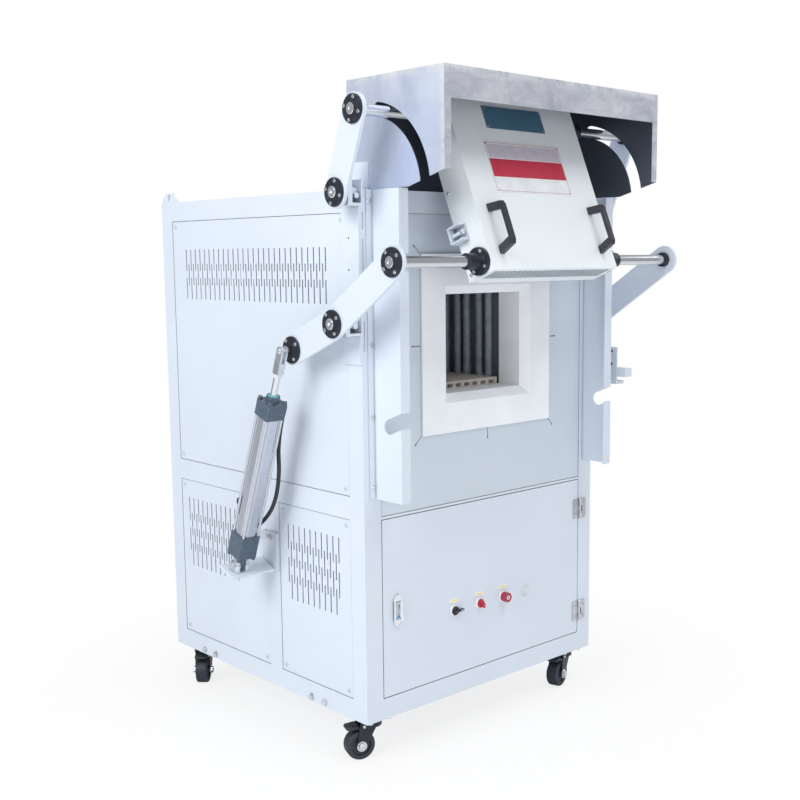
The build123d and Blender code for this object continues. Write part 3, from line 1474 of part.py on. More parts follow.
def lock_handle():
    """Handle that folds out of the lock about its upper end."""
    low = LOCK_MIDDLE - LOCK_HANDLE_HEIGHT / 2.0 + LOCK_RECESS_GAP
    face = FRONT - LOCK_PLATE - LOCK_RECESS_GAP
    with BuildPart() as handle:
        with BuildSketch(Plane.XZ.offset(-face)):
            with Locations((LOCK_X, (low + LOCK_HANDLE_TOP) / 2.0)):
                SlotOverall(
                    LOCK_HANDLE_TOP - low, LOCK_HANDLE_WIDTH - 2.0 * LOCK_RECESS_GAP, rotation=90
                )
        extrude(amount=-LOCK_RECESS_GAP - LOCK_HANDLE_SHEET)
        bar_along_x(
            LOCK_X - LOCK_PIN_HALF,
            LOCK_X + LOCK_PIN_HALF,
            LOCK_PIVOT_Y,
            LOCK_PIVOT_Z,
            LOCK_PIN_RADIUS,
        )
    return handle


HINGE_AXIS = (RIGHT - HINGE_INSET, FRONT - KNUCKLE_RADIUS)


def hinge(sign, bottom):
    """One hinge's leaf and knuckles: sign 1 for the post's leaf, -1 for the door's."""
    x, y = HINGE_AXIS
    third = HINGE_HEIGHT / 3.0
    z0 = BASE + bottom
    ends = (x, x + sign * HINGE_LEAF)
    if sign > 0:
        knuckles = ((z0, z0 + third), (z0 + 2.0 * third, z0 + 3.0 * third))
        others = ((z0 + third, z0 + 2.0 * third),)
    else:
        knuckles = ((z0 + third, z0 + 2.0 * third),)
        others = ((z0, z0 + third), (z0 + 2.0 * third, z0 + 3.0 * third))
    room = KNUCKLE_RADIUS + KNUCKLE_GAP
    with BuildPart() as piece:
        block((min(ends), max(ends)), (FRONT - HINGE_SHEET, FRONT), (z0, z0 + HINGE_HEIGHT))
        for low, high in knuckles:
            bar_along_z(x, y, low, high, KNUCKLE_RADIUS)
        for low, high in others:
            block(
                (x - room, x + room),
                (y - room, FRONT),
                (low - KNUCKLE_GAP, high + KNUCKLE_GAP),
                Mode.SUBTRACT,
            )
        if sign > 0:
            bar_along_z(x, y, z0, z0 + HINGE_HEIGHT, HINGE_PIN_RADIUS)
        else:
            bar_along_z(
                x, y, z0, z0 + HINGE_HEIGHT, HINGE_PIN_RADIUS + RUNNING_GAP, Mode.SUBTRACT
            )
    return piece


def hinge_leaves(sign):
    with BuildPart() as leaves:
        for bottom in (HINGE_BOTTOM, HINGE_TOP - HINGE_HEIGHT):
            add(hinge(sign, bottom).part)
    return leaves


def control_devices():
    """Bezels and barrels of the four controls, with a buzzer, a lamp and three labels."""
    z = BASE + CONTROL_HEIGHT
    with BuildPart() as devices:
        for x in (LEVER_X, KNOB_X, BUZZER_X, LAMP_X):
            bar_along_y(x, FRONT - BEZEL_SHEET, FRONT, z, BEZEL_RADIUS)
            bar_along_y(x, FRONT, FRONT + DEVICE_BARREL, z, DEVICE_BARREL_RADIUS)
        for x in (LEVER_X, KNOB_X):
            bar_along_y(
                x,
                FRONT - BEZEL_SHEET,
                FRONT + KNOB_STEM,
                z,
                KNOB_STEM_RADIUS + RUNNING_GAP,
                Mode.SUBTRACT,
            )
        bar_along_y(BUZZER_X, FRONT - BUZZER_LENGTH, FRONT - BEZEL_SHEET, z, DEVICE_BARREL_RADIUS + 1.5)
        bar_along_y(LAMP_X, FRONT - LAMP_LENGTH, FRONT - BEZEL_SHEET, z, DEVICE_BARREL_RADIUS)
        for x in (LEVER_X, KNOB_X, BUZZER_X):
            block(
                (x - LABEL_WIDTH / 2.0, x + LABEL_WIDTH / 2.0),
                (FRONT - LABEL_SHEET, FRONT),
                (z + LABEL_RISE - LABEL_HEIGHT / 2.0, z + LABEL_RISE + LABEL_HEIGHT / 2.0),
            )
    return devices


def control_knob(x, lever):
    """Rotary actuator: a cap on a stem, with a lever or a grip bar across it."""
    z = BASE + CONTROL_HEIGHT
    seat = FRONT - BEZEL_SHEET - KNOB_GAP
    cap = seat - KNOB_SHEET
    with BuildPart() as knob:
        bar_along_y(x, cap, seat, z, KNOB_RADIUS)
        bar_along_y(x, seat, FRONT + KNOB_STEM - KNOB_GAP, z, KNOB_STEM_RADIUS)
        if lever:
            half = LEVER_WIDTH / 2.0
            block((x, x + LEVER_LENGTH), (cap - half, cap), (z - half, z + half))
        else:
            with BuildSketch(Plane.XZ.offset(-cap)):
                with Locations(Location((x, z), KNOB_TURN_ANGLE)):
                    SlotOverall(2.0 * KNOB_RADIUS + 3.0, HANDLE_BAR)
            extrude(amount=HANDLE_BAR_RISE)
    return knob


def power_unit():
    """Back board in the lower cabinet with the power controller and its heat sink."""
    y0 = FRONT + BACK_BOARD_DEPTH
    z0 = BASE + FACE_LOWER[0]
    wide, thick, tall = POWER_BLOCK
    face = y0 - thick
    with BuildPart() as unit:
        block(
            (-BACK_BOARD_WIDTH / 2.0, BACK_BOARD_WIDTH / 2.0),
            (y0, y0 + BACK_BOARD_SHEET),
            (BASE + SHELL, z0 + BACK_BOARD_HEIGHT),
        )
        block((-wide - wide / 4.0, -wide / 4.0), (face, y0), (z0 + tall / 4.0, z0 + tall + tall / 4.0))
        fin_room = wide / FIN_COUNT
        for number in range(FIN_COUNT):
            x0 = -wide - wide / 4.0 + number * fin_room
            block(
                (x0, x0 + fin_room / 2.0),
                (face - FIN_DEPTH, face),
                (z0 + tall / 4.0, z0 + tall + tall / 4.0),
            )
    return unit


def air_valves():
    """Valve manifold for the two cylinders, on the same back board."""
    y0 = FRONT + BACK_BOARD_DEPTH
    wide, thick, tall = VALVE_BLOCK
    coil_wide, coil_thick, coil_tall = SOLENOID
    z0 = BASE + FACE_LOWER[0] + POWER_BLOCK[2] / 2.0
    with BuildPart() as valves:
        block((wide / 2.0, wide * 1.5), (y0 - thick, y0), (z0, z0 + tall))
        for number in (0, 1):
            x0 = wide / 2.0 + wide / 4.0 + number * wide / 2.0 - coil_wide / 2.0
            block((x0, x0 + coil_wide), (y0 - coil_thick, y0), (z0 + tall, z0 + tall + coil_tall))
    return valves


def limit_switch():
    """Switch on a bracket beside the right post, just inside the path of the lower shaft."""
    x0 = RIGHT
    x1 = RIGHT + SWITCH_PLATE_SHEET
    x2 = RIGHT + SWITCH_BAR_WIDTH
    back = FRONT + POST / 2.0
    top = BASE + PIVOT_PLATE_BOTTOM - SWITCH_PLATE_GAP
    with BuildPart() as switch:
        block(
            (x0, x1),
            (FRONT - SWITCH_TONGUE_REACH, back),
            (BASE + SWITCH_TONGUE_BOTTOM, top),
        )
        block(
            (x1, x2),
            (FRONT - SWITCH_BAR_REACH, FRONT),
            (BASE + SWITCH_BAR_BOTTOM, BASE + SWITCH_BAR_BOTTOM + SWITCH_BAR_HEIGHT),
        )
        block(
            (x1, x2),
            (FRONT - SWITCH_TONGUE_REACH, FRONT),
            (BASE + SWITCH_TONGUE_BOTTOM, BASE + SWITCH_TONGUE_BOTTOM + SWITCH_TONGUE_SHEET),
        )
        block(
            (x1, (x1 + x2) / 2.0),
            (FRONT - SWITCH_TONGUE_REACH / 2.0, FRONT - SWITCH_TONGUE_REACH / 8.0),
            (BASE + SWITCH_BAR_BOTTOM + SWITCH_BAR_HEIGHT, top),
        )
    return switch


def caster_places():
    """Swivel axes of the four casters in plan, by name."""
    x = WIDTH / 2.0 - CASTER_INSET_X
    front = FRONT + CASTER_INSET_Y
    rear = REAR - CASTER_INSET_Y
    return {
        "front_left": (-x, front),
        "front_right": (x, front),
        "rear_left": (-x, rear),
        "rear_right": (x, rear),
    }


RACE_BOTTOM = CASTER_HEIGHT - CASTER_PLATE_SHEET - CASTER_RACE
FORK_TOP = RACE_BOTTOM - KNOB_GAP


def caster_plates():
    """Top plates of the casters with their races and kingpins."""
    with BuildPart() as plates:
        for x, y in caster_places().values():
            block(
                (x - CASTER_PLATE_WIDTH / 2.0, x + CASTER_PLATE_WIDTH / 2.0),
                (y - CASTER_PLATE_LENGTH / 2.0, y + CASTER_PLATE_LENGTH / 2.0),
                (CASTER_HEIGHT - CASTER_PLATE_SHEET, CASTER_HEIGHT),
            )
            bar_along_z(x, y, RACE_BOTTOM, CASTER_HEIGHT - CASTER_PLATE_SHEET, CASTER_RACE_RADIUS)
            bar_along_z(x, y, FORK_TOP - FORK_HEAD, RACE_BOTTOM, KINGPIN_RADIUS)
    return plates


def caster_fork():
    """Swivelling fork with its axle and brake pedal, trailing along +X."""
    inner = WHEEL_WIDTH / 2.0 + WHEEL_SIDE_GAP
    outer = inner + FORK_SHEET
    with BuildPart() as fork:
        bar_along_z(0.0, 0.0, FORK_TOP - FORK_HEAD, FORK_TOP, FORK_HEAD_RADIUS)
        bar_along_z(
            0.0, 0.0, FORK_TOP - FORK_HEAD, FORK_TOP, KINGPIN_RADIUS + RUNNING_GAP, Mode.SUBTRACT
        )
        for low, high in ((-outer, -inner), (inner, outer)):
            with BuildSketch(Plane.XZ.offset(-high)):
                with BuildLine():
                    Polyline(
                        (-FORK_HEAD_RADIUS * 0.6, FORK_TOP),
                        (FORK_HEAD_RADIUS, FORK_TOP),
                        (TRAIL + AXLE_HEAD_RADIUS * 1.5, WHEEL_RADIUS),
                        (TRAIL, WHEEL_RADIUS - AXLE_HEAD_RADIUS * 1.4),
                        (TRAIL - AXLE_HEAD_RADIUS * 1.5, WHEEL_RADIUS),
                        close=True,
                    )
                make_face()
            extrude(amount=high - low)
        block(
            (0.0, FORK_HEAD_RADIUS),
            (-outer, outer),
            (FORK_TOP - FORK_SHEET, FORK_TOP),
        )
        bar_along_z(
            0.0, 0.0, FORK_TOP - FORK_HEAD, FORK_TOP, KINGPIN_RADIUS + RUNNING_GAP, Mode.SUBTRACT
        )
        bar_along_y(TRAIL, -outer - AXLE_HEAD, outer + AXLE_HEAD, WHEEL_RADIUS, AXLE_RADIUS)
        for y0 in (-outer - AXLE_HEAD, outer):
            bar_along_y(TRAIL, y0, y0 + AXLE_HEAD, WHEEL_RADIUS, AXLE_HEAD_RADIUS)
        block(
            (FORK_HEAD_RADIUS * 0.8, TRAIL + PEDAL_LENGTH),
            (-PEDAL_WIDTH / 2.0, PEDAL_WIDTH / 2.0),
            (PEDAL_HEIGHT, PEDAL_HEIGHT + PEDAL_SHEET),
        )
    return fork


def caster_wheel():
    """Wheel with recessed sides and rounded tread, at its place in the fork."""
    half = WHEEL_WIDTH / 2.0
    with BuildPart() as wheel:
        bar_along_y(TRAIL, -half, half, WHEEL_RADIUS, WHEEL_RADIUS)
        rims = wheel.edges().filter_by(GeomType.CIRCLE)
        fillet(rims, WHEEL_ROUND)
        for y0 in (-half, half - HUB_RECESS):
            bar_along_y(
                TRAIL, y0, y0 + HUB_RECESS, WHEEL_RADIUS, HUB_RECESS_RADIUS, Mode.SUBTRACT
            )
            bar_along_y(TRAIL, y0, y0 + HUB_RECESS, WHEEL_RADIUS, 2.0 * AXLE_RADIUS)
        bar_along_y(TRAIL, -half, half, WHEEL_RADIUS, AXLE_RADIUS + RUNNING_GAP, Mode.SUBTRACT)
    return wheel


os.makedirs("parts", exist_ok=True)

save("cabinet_shell", cabinet_shell())
save("roof_panel", roof_panel())
save("rear_panels", rear_panels())
save("front_plate", front_plate())
left_upper_panel = side_panel(SIDE_UPPER, UPPER_SLITS)
save("left_upper_panel", left_upper_panel)
save("right_upper_panel", twin(left_upper_panel))
with BuildPart() as left_lower_panels:
    add(side_panel(SIDE_REAR, REAR_SLITS).part)
    add(side_panel(SIDE_FRONT, FRONT_SLITS).part)
save("left_lower_panels", left_lower_panels)
save("right_lower_panels", twin(left_lower_panels))
save("mouth_frame", mouth_frame())
save("chamber_lining", chamber_lining())
save("heating_elements", heating_elements())
save("setter_plate", setter_plate())
save("thermocouple", thermocouple())
save("hood", hood())
save("guide_channels", both_sides(guide_channel()))
save("pivot_brackets", pivot_brackets())
save("cylinder_brackets", cylinder_bracket())
save("panel_screws", panel_screws())
save("power_unit", power_unit())
save("air_valves", air_valves())
save("limit_switch", limit_switch())

lower_arm = arm_plate(LOWER_ARM_X, LOWER_SPANS)
save("lower_arm_left", lower_arm)
save("lower_arm_right", twin(lower_arm))
TURNING_BORE = SHAFT_RADIUS + RUNNING_GAP
LOWER_SEATS = (
    (LOWER_PIVOT, TURNING_BORE),
    (LOWER_HUB_OPEN, TURNING_BORE),
    (CRANK_PIN_OPEN, 0.0),
)
UPPER_SEATS = ((UPPER_PIVOT, TURNING_BORE), (UPPER_HUB_OPEN, SHAFT_RADIUS))
save("lower_arm_bearings", arm_bearings(LOWER_ARM_X, LOWER_SCREW_ANGLE, LOWER_SEATS))
upper_arm = arm_plate(UPPER_ARM_X, UPPER_SPANS)
save("upper_arm_left", upper_arm)
save("upper_arm_right", twin(upper_arm))
save("upper_arm_bearings", arm_bearings(UPPER_ARM_X, UPPER_SCREW_ANGLE, UPPER_SEATS))
save("upper_shafts", both_sides(upper_shaft()))

save("door_shell", moved(door_shell(), DOOR_PLACE))
save("door_insulation", moved(door_insulation(), DOOR_PLACE))
save("door_handles", moved(door_handles(), DOOR_PLACE))
save("door_hubs", moved(door_hubs(), DOOR_PLACE))
save("door_shafts", moved(door_shafts(), DOOR_PLACE))
save("door_nameplates", moved(door_nameplates(), DOOR_PLACE))
save("door_stop_brackets", moved(door_stop_brackets(), DOOR_PLACE))

save("cylinder_tubes", both_sides(moved(cylinder_tube(), CYLINDER_PLACE)))
save("cylinder_caps", both_sides(moved(cylinder_caps(), CYLINDER_PLACE)))
save("piston_rods", both_sides(moved(piston_rod(), CYLINDER_PLACE)))
save("rod_clevises", both_sides(moved(rod_clevis(), CYLINDER_PLACE)))

save("air_hoses", both_sides(air_hose()))
save("hose_glands", both_sides(hose_gland()))

save("cabinet_door", cabinet_door())
save("hinge_frame_leaves", hinge_leaves(1.0))
save("hinge_door_leaves", hinge_leaves(-1.0))
save("door_lock", door_lock())
save("lock_handle", lock_handle())
save("control_devices", control_devices())
save("selector_lever", control_knob(LEVER_X, True))
save("heat_knob", control_knob(KNOB_X, False))

save("caster_plates", caster_plates())
fork = caster_fork()
wheel = caster_wheel()
for corner, (caster_x, caster_y) in caster_places().items():
    place = Location((caster_x, caster_y, 0.0), (0.0, 0.0, CASTER_YAWS[corner]))
    save(f"caster_fork_{corner}", moved(fork, place))
    save(f"caster_wheel_{corner}", moved(wheel, place))

print("lower arm travel", round(LOWER_ARM_TRAVEL, 3), "upper arm travel", round(UPPER_ARM_TRAVEL, 3))
print("cylinder length", round(CYLINDER_LENGTH, 2), "stroke", round(CYLINDER_STROKE, 2))
print("cylinder lean", round(CYLINDER_LEAN, 3), "swing", round(CYLINDER_SWING, 3))
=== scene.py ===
import math
import random

import bmesh
import bpy
from mathutils import Matrix, Vector


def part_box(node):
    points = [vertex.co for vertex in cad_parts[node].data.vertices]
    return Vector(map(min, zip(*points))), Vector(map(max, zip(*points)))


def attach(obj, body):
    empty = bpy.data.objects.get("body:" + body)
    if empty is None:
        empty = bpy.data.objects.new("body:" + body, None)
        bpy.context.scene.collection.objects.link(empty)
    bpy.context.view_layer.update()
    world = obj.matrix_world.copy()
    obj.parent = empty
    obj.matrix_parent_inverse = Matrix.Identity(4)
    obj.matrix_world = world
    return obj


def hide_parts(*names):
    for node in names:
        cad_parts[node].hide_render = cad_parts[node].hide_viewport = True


# The row frame: origin on the floor under the middle of the outline, metres, +X right,
# +Y back, +Z up. FRONT is the cabinet's front face and BASE its underside.
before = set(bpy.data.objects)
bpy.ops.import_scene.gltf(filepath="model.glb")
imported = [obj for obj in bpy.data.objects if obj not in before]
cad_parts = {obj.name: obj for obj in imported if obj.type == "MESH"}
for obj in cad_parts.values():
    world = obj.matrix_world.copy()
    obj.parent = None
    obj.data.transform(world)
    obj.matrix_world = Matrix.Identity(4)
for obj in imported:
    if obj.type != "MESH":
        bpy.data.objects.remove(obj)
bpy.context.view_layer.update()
random.seed(7)

cabinet_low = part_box("cabinet_shell")[0]
FRONT = cabinet_low.y
BASE = cabinet_low.z
LEFT = -0.4
RIGHT = 0.4
CABINET_DEPTH = 0.833
CABINET_HEIGHT = 1.222


def place(x, depth, height):
    """A point given by its row x, its depth behind the front and its height over the base."""
    return Vector((x, FRONT + depth, BASE + height))


def facing(origin, out):
    """A frame on an upright surface: Z points out of it and Y up."""
    z = Vector(out).normalized()
    x = Vector((0.0, 0.0, 1.0)).cross(z).normalized()
    made = Matrix((x, z.cross(x), z)).transposed().to_4x4()
    made.translation = origin
    return made


def shift(x, y, z=0.0):
    return Matrix.Translation((x, y, z))


def spin(angle, axis="Z"):
    return Matrix.Rotation(math.radians(angle), 4, axis)


def polar(centre, length, angle):
    """The (depth, height) at a distance and an angle, from the rear upwards."""
    turn = math.radians(angle)
    return (centre[0] + length * math.cos(turn), centre[1] + length * math.sin(turn))


TO_FRONT = (0.0, -1.0, 0.0)
TO_LEFT = (-1.0, 0.0, 0.0)
TO_RIGHT = (1.0, 0.0, 0.0)
TO_BACK = (0.0, 1.0, 0.0)
SIDES = (Matrix.Identity(4), Matrix.Scale(-1.0, 4, TO_RIGHT))

# Places of the lift in its open pose, as (depth, height)
LOWER_PIVOT = (0.015, 0.930)
UPPER_PIVOT = (0.010, 1.2125)
CYLINDER_PIN = (0.3636, 0.3379)
DOOR_TILT = 22.0
HUB_SPACING = 0.343
LOWER_HUB = polar(LOWER_PIVOT, 0.2402, 146.4)
UPPER_HUB = polar(LOWER_HUB, HUB_SPACING, 90.0 - DOOR_TILT)
CRANK_PIN = polar(LOWER_PIVOT, 0.163, -23.1)
LOWER_SEAT = LEFT - 0.0685
UPPER_SEAT = LEFT - 0.0595
DOOR = Matrix.Translation(place(0.0, *LOWER_HUB)) @ spin(-DOOR_TILT, "X")
DOOR_SIDE = -0.214
CYLINDER_LEAN = 20.614
CYLINDER_X = LEFT - 0.095
CYLINDER_PIN_SPACING = 0.56428
CYLINDER = Matrix.Translation(place(CYLINDER_X, *CYLINDER_PIN)) @ spin(CYLINDER_LEAN, "X")

# Forms

# Edges that turn by more than this stay sharp
SHARP = math.radians(32.0)
CORNER_STEPS = 5


def rounded_box(width, height, radius):
    """The outline of a rectangle with round corners."""
    outline = []
    for quarter, (sx, sy) in enumerate(((1, 1), (-1, 1), (-1, -1), (1, -1))):
        centre = (sx * (width / 2.0 - radius), sy * (height / 2.0 - radius))
        for step in range(CORNER_STEPS + 1):
            angle = math.pi / 2.0 * (quarter + step / CORNER_STEPS)
            outline.append(
                (centre[0] + radius * math.cos(angle), centre[1] + radius * math.sin(angle))
            )
    return outline


def inset(outline, amount):
    """The outline moved inwards, for an outline that runs anticlockwise."""
    moved = []
    count = len(outline)
    for number, point in enumerate(outline):
        before = (Vector(point) - Vector(outline[number - 1])).normalized()
        after = (Vector(outline[(number + 1) % count]) - Vector(point)).normalized()
        normal = Vector((-before.y - after.y, before.x + after.x))
        normal /= max(normal.length_squared / 2.0, 0.2)
        moved.append((point[0] + normal.x * amount, point[1] + normal.y * amount))
    return moved


class Piece:
    """One visible piece, made of turned, drawn and swept forms of several materials."""

    def __init__(self, name):
        self.name = name
        self.mesh = bmesh.new()
        self.materials = []

    def skin(self, loops, material, ring=False):
        """Loops of points joined by faces, with an end face at each end or else run into a ring."""
        if material not in self.materials:
            self.materials.append(material)
        rows = [[self.mesh.verts.new(point) for point in loop] for loop in loops]
        count = len(rows[0])
        pairs = list(zip(rows, rows[1:]))
        faces = []
        if ring:
            pairs.append((rows[-1], rows[0]))
        else:
            faces += [self.mesh.faces.new(rows[0][::-1]), self.mesh.faces.new(rows[-1])]
        for a, b in pairs:
            for i in range(count):
                j = (i + 1) % count
                faces.append(self.mesh.faces.new((a[i], a[j], b[j], b[i])))
        for face in faces:
            face.material_index = self.materials.index(material)

    def turned(self, frame_at, rings, material, ring=False, segments=24):
        """Rings of (radius, height) or (radius, height, corners) round the frame's Z."""
        loops = []
        for radius, height, *corners in rings:
            loop = []
            for step in range(segments):
                angle = 2.0 * math.pi * step / segments
                reach = radius
                if corners:
                    part = 2.0 * math.pi / corners[0]
                    reach *= math.cos(part / 2.0) / math.cos(angle % part - part / 2.0)
                point = Vector((reach * math.cos(angle), reach * math.sin(angle), height))
                loop.append(frame_at @ point)
            loops.append(loop)
        self.skin(loops, material, ring)

    def drawn(self, frame_at, outline, low, high, material, edge=0.0):
        """An outline drawn out from low to high, its outer edge broken."""
        levels = [(outline, low), (outline, high - edge), (inset(outline, edge), high)]
        if not edge:
            levels.pop()
        self.skin(
            [[frame_at @ Vector((x, y, z)) for x, y in shape] for shape, z in levels], material
        )

    def framed(self, frame_at, outline, width, low, high, material):
        """A raised rim along the inside of an outline."""
        inner = inset(outline, width)
        levels = ((outline, low), (outline, high), (inner, high), (inner, low))
        loops = [[frame_at @ Vector((x, y, z)) for x, y in shape] for shape, z in levels]
        self.skin(loops, material, ring=True)

    def swept(self, points, radius, material, segments=10):
        """A round bar along a line of points."""
        loops = []
        side = None
        for number, point in enumerate(points):
            ahead = points[min(number + 1, len(points) - 1)]
            along = (ahead - points[max(number - 1, 0)]).normalized()
            side = along.orthogonal() if side is None else side
            side = (side - along * side.dot(along)).normalized()
            other = along.cross(side)
            loops.append(
                [
                    point + (side * math.cos(a) + other * math.sin(a)) * radius
                    for a in (2.0 * math.pi * step / segments for step in range(segments))
                ]
            )
        self.skin(loops, material)

    def socket_screw(self, frame_at, radius, head, material):
        """A cylindrical head with a hexagonal socket."""
        self.turned(
            frame_at,
            (
                (radius, 0.0),
                (radius, head * 0.75),
                (radius * 0.88, head),
                (radius * 0.58, head, 6),
                (radius * 0.54, head * 0.3, 6),
            ),
            material,
        )

    def hex_bolt(self, frame_at, radius, head, material, washer=0.0):
        """A hexagonal head, on a washer of the thickness given."""
        if washer:
            self.turned(frame_at, ((radius * 1.35, 0.0), (radius * 1.35, washer)), material)
        rings = (
            (radius, washer, 6),
            (radius, washer + head * 0.78, 6),
            (radius * 0.93, washer + head * 0.92),
            (radius * 0.80, washer + head),
        )
        self.turned(frame_at, rings, material)

    def pan_screw(self, frame_at, radius, head, material):
        """A domed head with a cross recess."""
        rings = (
            (radius, 0.0),
            (radius * 0.97, head * 0.45),
            (radius * 0.80, head * 0.85),
            (radius * 0.52, head),
            (radius * 0.46, head * 0.95, 4),
            (radius * 0.28, head * 0.3, 4),
        )
        self.turned(frame_at, rings, material)

    def done(self, body, *nodes):
        """The finished piece, riding on a body and standing for any nodes named."""
        bmesh.ops.recalc_face_normals(self.mesh, faces=self.mesh.faces)
        for face in self.mesh.faces:
            face.smooth = True
        for edge in self.mesh.edges:
            edge.smooth = edge.calc_face_angle(0.0) < SHARP
        data = bpy.data.meshes.new(self.name)
        self.mesh.to_mesh(data)
        self.mesh.free()
        for material in self.materials:
            data.materials.append(material)
        made = bpy.data.objects.new(self.name, data)
        bpy.context.collection.objects.link(made)
        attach(made, body)
        if nodes:
            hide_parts(*nodes)
        return made


# Materials


class Shader:
    """A node material under construction."""

    def __init__(self, name, colour, roughness, metallic=0.0):
        self.material = bpy.data.materials.new(name)
        self.material.use_nodes = True
        self.tree = self.material.node_tree
        self.bsdf = self.tree.nodes["Principled BSDF"]
        self.bsdf.inputs["Base Color"].default_value = (*colour, 1.0)
        self.bsdf.inputs["Roughness"].default_value = roughness
        self.bsdf.inputs["Metallic"].default_value = metallic
        self.coords = self.tree.nodes.new("ShaderNodeTexCoord").outputs["Object"]
        self.normal = None

    def node(self, kind, **settings):
        made = self.tree.nodes.new(kind)
        for key, value in settings.items():
            setattr(made, key, value)
        return made

    def link(self, source, target):
        self.tree.links.new(source, target)

    def stretched(self, scale):
        """The coordinates scaled along each axis."""
        mapping = self.node("ShaderNodeMapping")
        mapping.inputs["Scale"].default_value = scale
        self.link(self.coords, mapping.inputs["Vector"])
        return mapping.outputs["Vector"]

    def noise(self, scale, detail=3.0, rough=0.55, vector=None, distortion=0.0):
        made = self.node("ShaderNodeTexNoise")
        made.inputs["Scale"].default_value = scale
        made.inputs["Detail"].default_value = detail
        made.inputs["Roughness"].default_value = rough
        made.inputs["Distortion"].default_value = distortion
        self.link(vector or self.coords, made.inputs["Vector"])
        return made.outputs["Fac"]

    def voronoi(self, scale):
        made = self.node("ShaderNodeTexVoronoi")
        made.inputs["Scale"].default_value = scale
        self.link(self.coords, made.inputs["Vector"])
        return made.outputs["Distance"]

    def ramp(self, source, stops):
        """Grey levels or colours at stops of (position, colour)."""
        made = self.node("ShaderNodeValToRGB")
        ramp = made.color_ramp
        while len(ramp.elements) < len(stops):
            ramp.elements.new(0.5)
        for element, (position, colour) in zip(ramp.elements, stops):
            element.position = position
            element.color = (*colour, 1.0) if hasattr(colour, "__len__") else (colour,) * 3 + (1.0,)
        self.link(source, made.inputs["Fac"])
        return made.outputs["Color"]

    def remap(self, source, low, high, to_low, to_high):
        made = self.node("ShaderNodeMapRange")
        for key, value in (
            ("From Min", low),
            ("From Max", high),
            ("To Min", to_low),
            ("To Max", to_high),
        ):
            made.inputs[key].default_value = value
        self.link(source, made.inputs["Value"])
        return made.outputs["Result"]

    def mix(self, factor, a, b):
        """Colour a where the factor is nought and b where it is one."""
        made = self.node("ShaderNodeMix", data_type="RGBA")
        colour_inputs = [s for s in made.inputs if s.type == "RGBA"]
        for socket, value in zip(colour_inputs, (a, b)):
            if isinstance(value, bpy.types.NodeSocket):
                self.link(value, socket)
            else:
                socket.default_value = (*value, 1.0)
        self.link(factor, made.inputs["Factor"])
        return [s for s in made.outputs if s.type == "RGBA"][0]

    def math(self, operation, a, b=0.0):
        made = self.node("ShaderNodeMath", operation=operation)
        for socket, value in zip(made.inputs, (a, b)):
            if isinstance(value, bpy.types.NodeSocket):
                self.link(value, socket)
            else:
                socket.default_value = value
        return made.outputs["Value"]

    def axis(self, letter):
        made = self.node("ShaderNodeSeparateXYZ")
        self.link(self.coords, made.inputs["Vector"])
        return made.outputs[letter]

    def leaning(self, angle, origin):
        """The distance from an origin along +Z once it leans from +Z towards +Y."""
        lean = math.radians(angle)
        across = self.math("MULTIPLY", self.axis("Y"), math.sin(lean))
        up = self.math("MULTIPLY", self.axis("Z"), math.cos(lean))
        away = origin.y * math.sin(lean) + origin.z * math.cos(lean)
        return self.math("SUBTRACT", self.math("ADD", across, up), away)

    def outside(self, letter, limit):
        """One where an axis is further than the limit from the middle, or else nought."""
        return self.above(self.math("ABSOLUTE", self.axis(letter)), limit)

    def above(self, value, limit):
        return self.math("GREATER_THAN", value, limit)

    def below(self, value, limit):
        return self.math("LESS_THAN", value, limit)

    def both(self, a, b):
        return self.math("MULTIPLY", a, b)

    def either(self, a, b):
        return self.math("MAXIMUM", a, b)

    def bump(self, height, strength, distance):
        """One more layer of bump on those before it."""
        made = self.node("ShaderNodeBump")
        made.inputs["Strength"].default_value = strength
        made.inputs["Distance"].default_value = distance
        self.link(height, made.inputs["Height"])
        if self.normal is not None:
            self.link(self.normal, made.inputs["Normal"])
        self.normal = made.outputs["Normal"]
        self.link(self.normal, self.bsdf.inputs["Normal"])

    def colour(self, source):
        self.link(source, self.bsdf.inputs["Base Color"])

    def overlay(self, mask, colour):
        """Another colour where the mask is one."""
        under = self.bsdf.inputs["Base Color"].links[0].from_socket
        self.colour(self.mix(mask, under, colour))

    def roughness(self, source):
        self.link(source, self.bsdf.inputs["Roughness"])


def scaled(colour, factor, lift=0.0):
    """A colour made lighter or darker."""
    return tuple(min(c * factor + lift, 1.0) for c in colour)


def powder_shader(name, colour, roughness=0.42, grime=0.05):
    """Powder coat: faint orange peel, slow shade changes and painted shade in the corners and
    seams.
    """
    s = Shader(name, colour, roughness)
    cloud = s.ramp(s.noise(2.3, 4.0, 0.6), ((0.35, 0.0), (0.7, 1.0)))
    tone = s.mix(cloud, scaled(colour, 1.0 - grime), colour)
    # Ambient occlusion darkens the colour in corners and narrow seams: painted shade.
    corner = s.node("ShaderNodeAmbientOcclusion", samples=4)
    corner.inputs["Distance"].default_value = 0.014
    painted_seam_shade = s.remap(corner.outputs["AO"], 0.12, 0.66, 1.0, 0.0)
    s.colour(s.mix(painted_seam_shade, tone, scaled(colour, 0.16)))
    s.roughness(s.remap(s.noise(60.0, 3.0), 0.3, 0.7, roughness - 0.05, roughness + 0.07))
    s.bump(s.noise(650.0, 2.0, 0.5), 0.10, 0.0004)
    return s


def powder(*settings):
    """The powder coat as a material."""
    return powder_shader(*settings).material


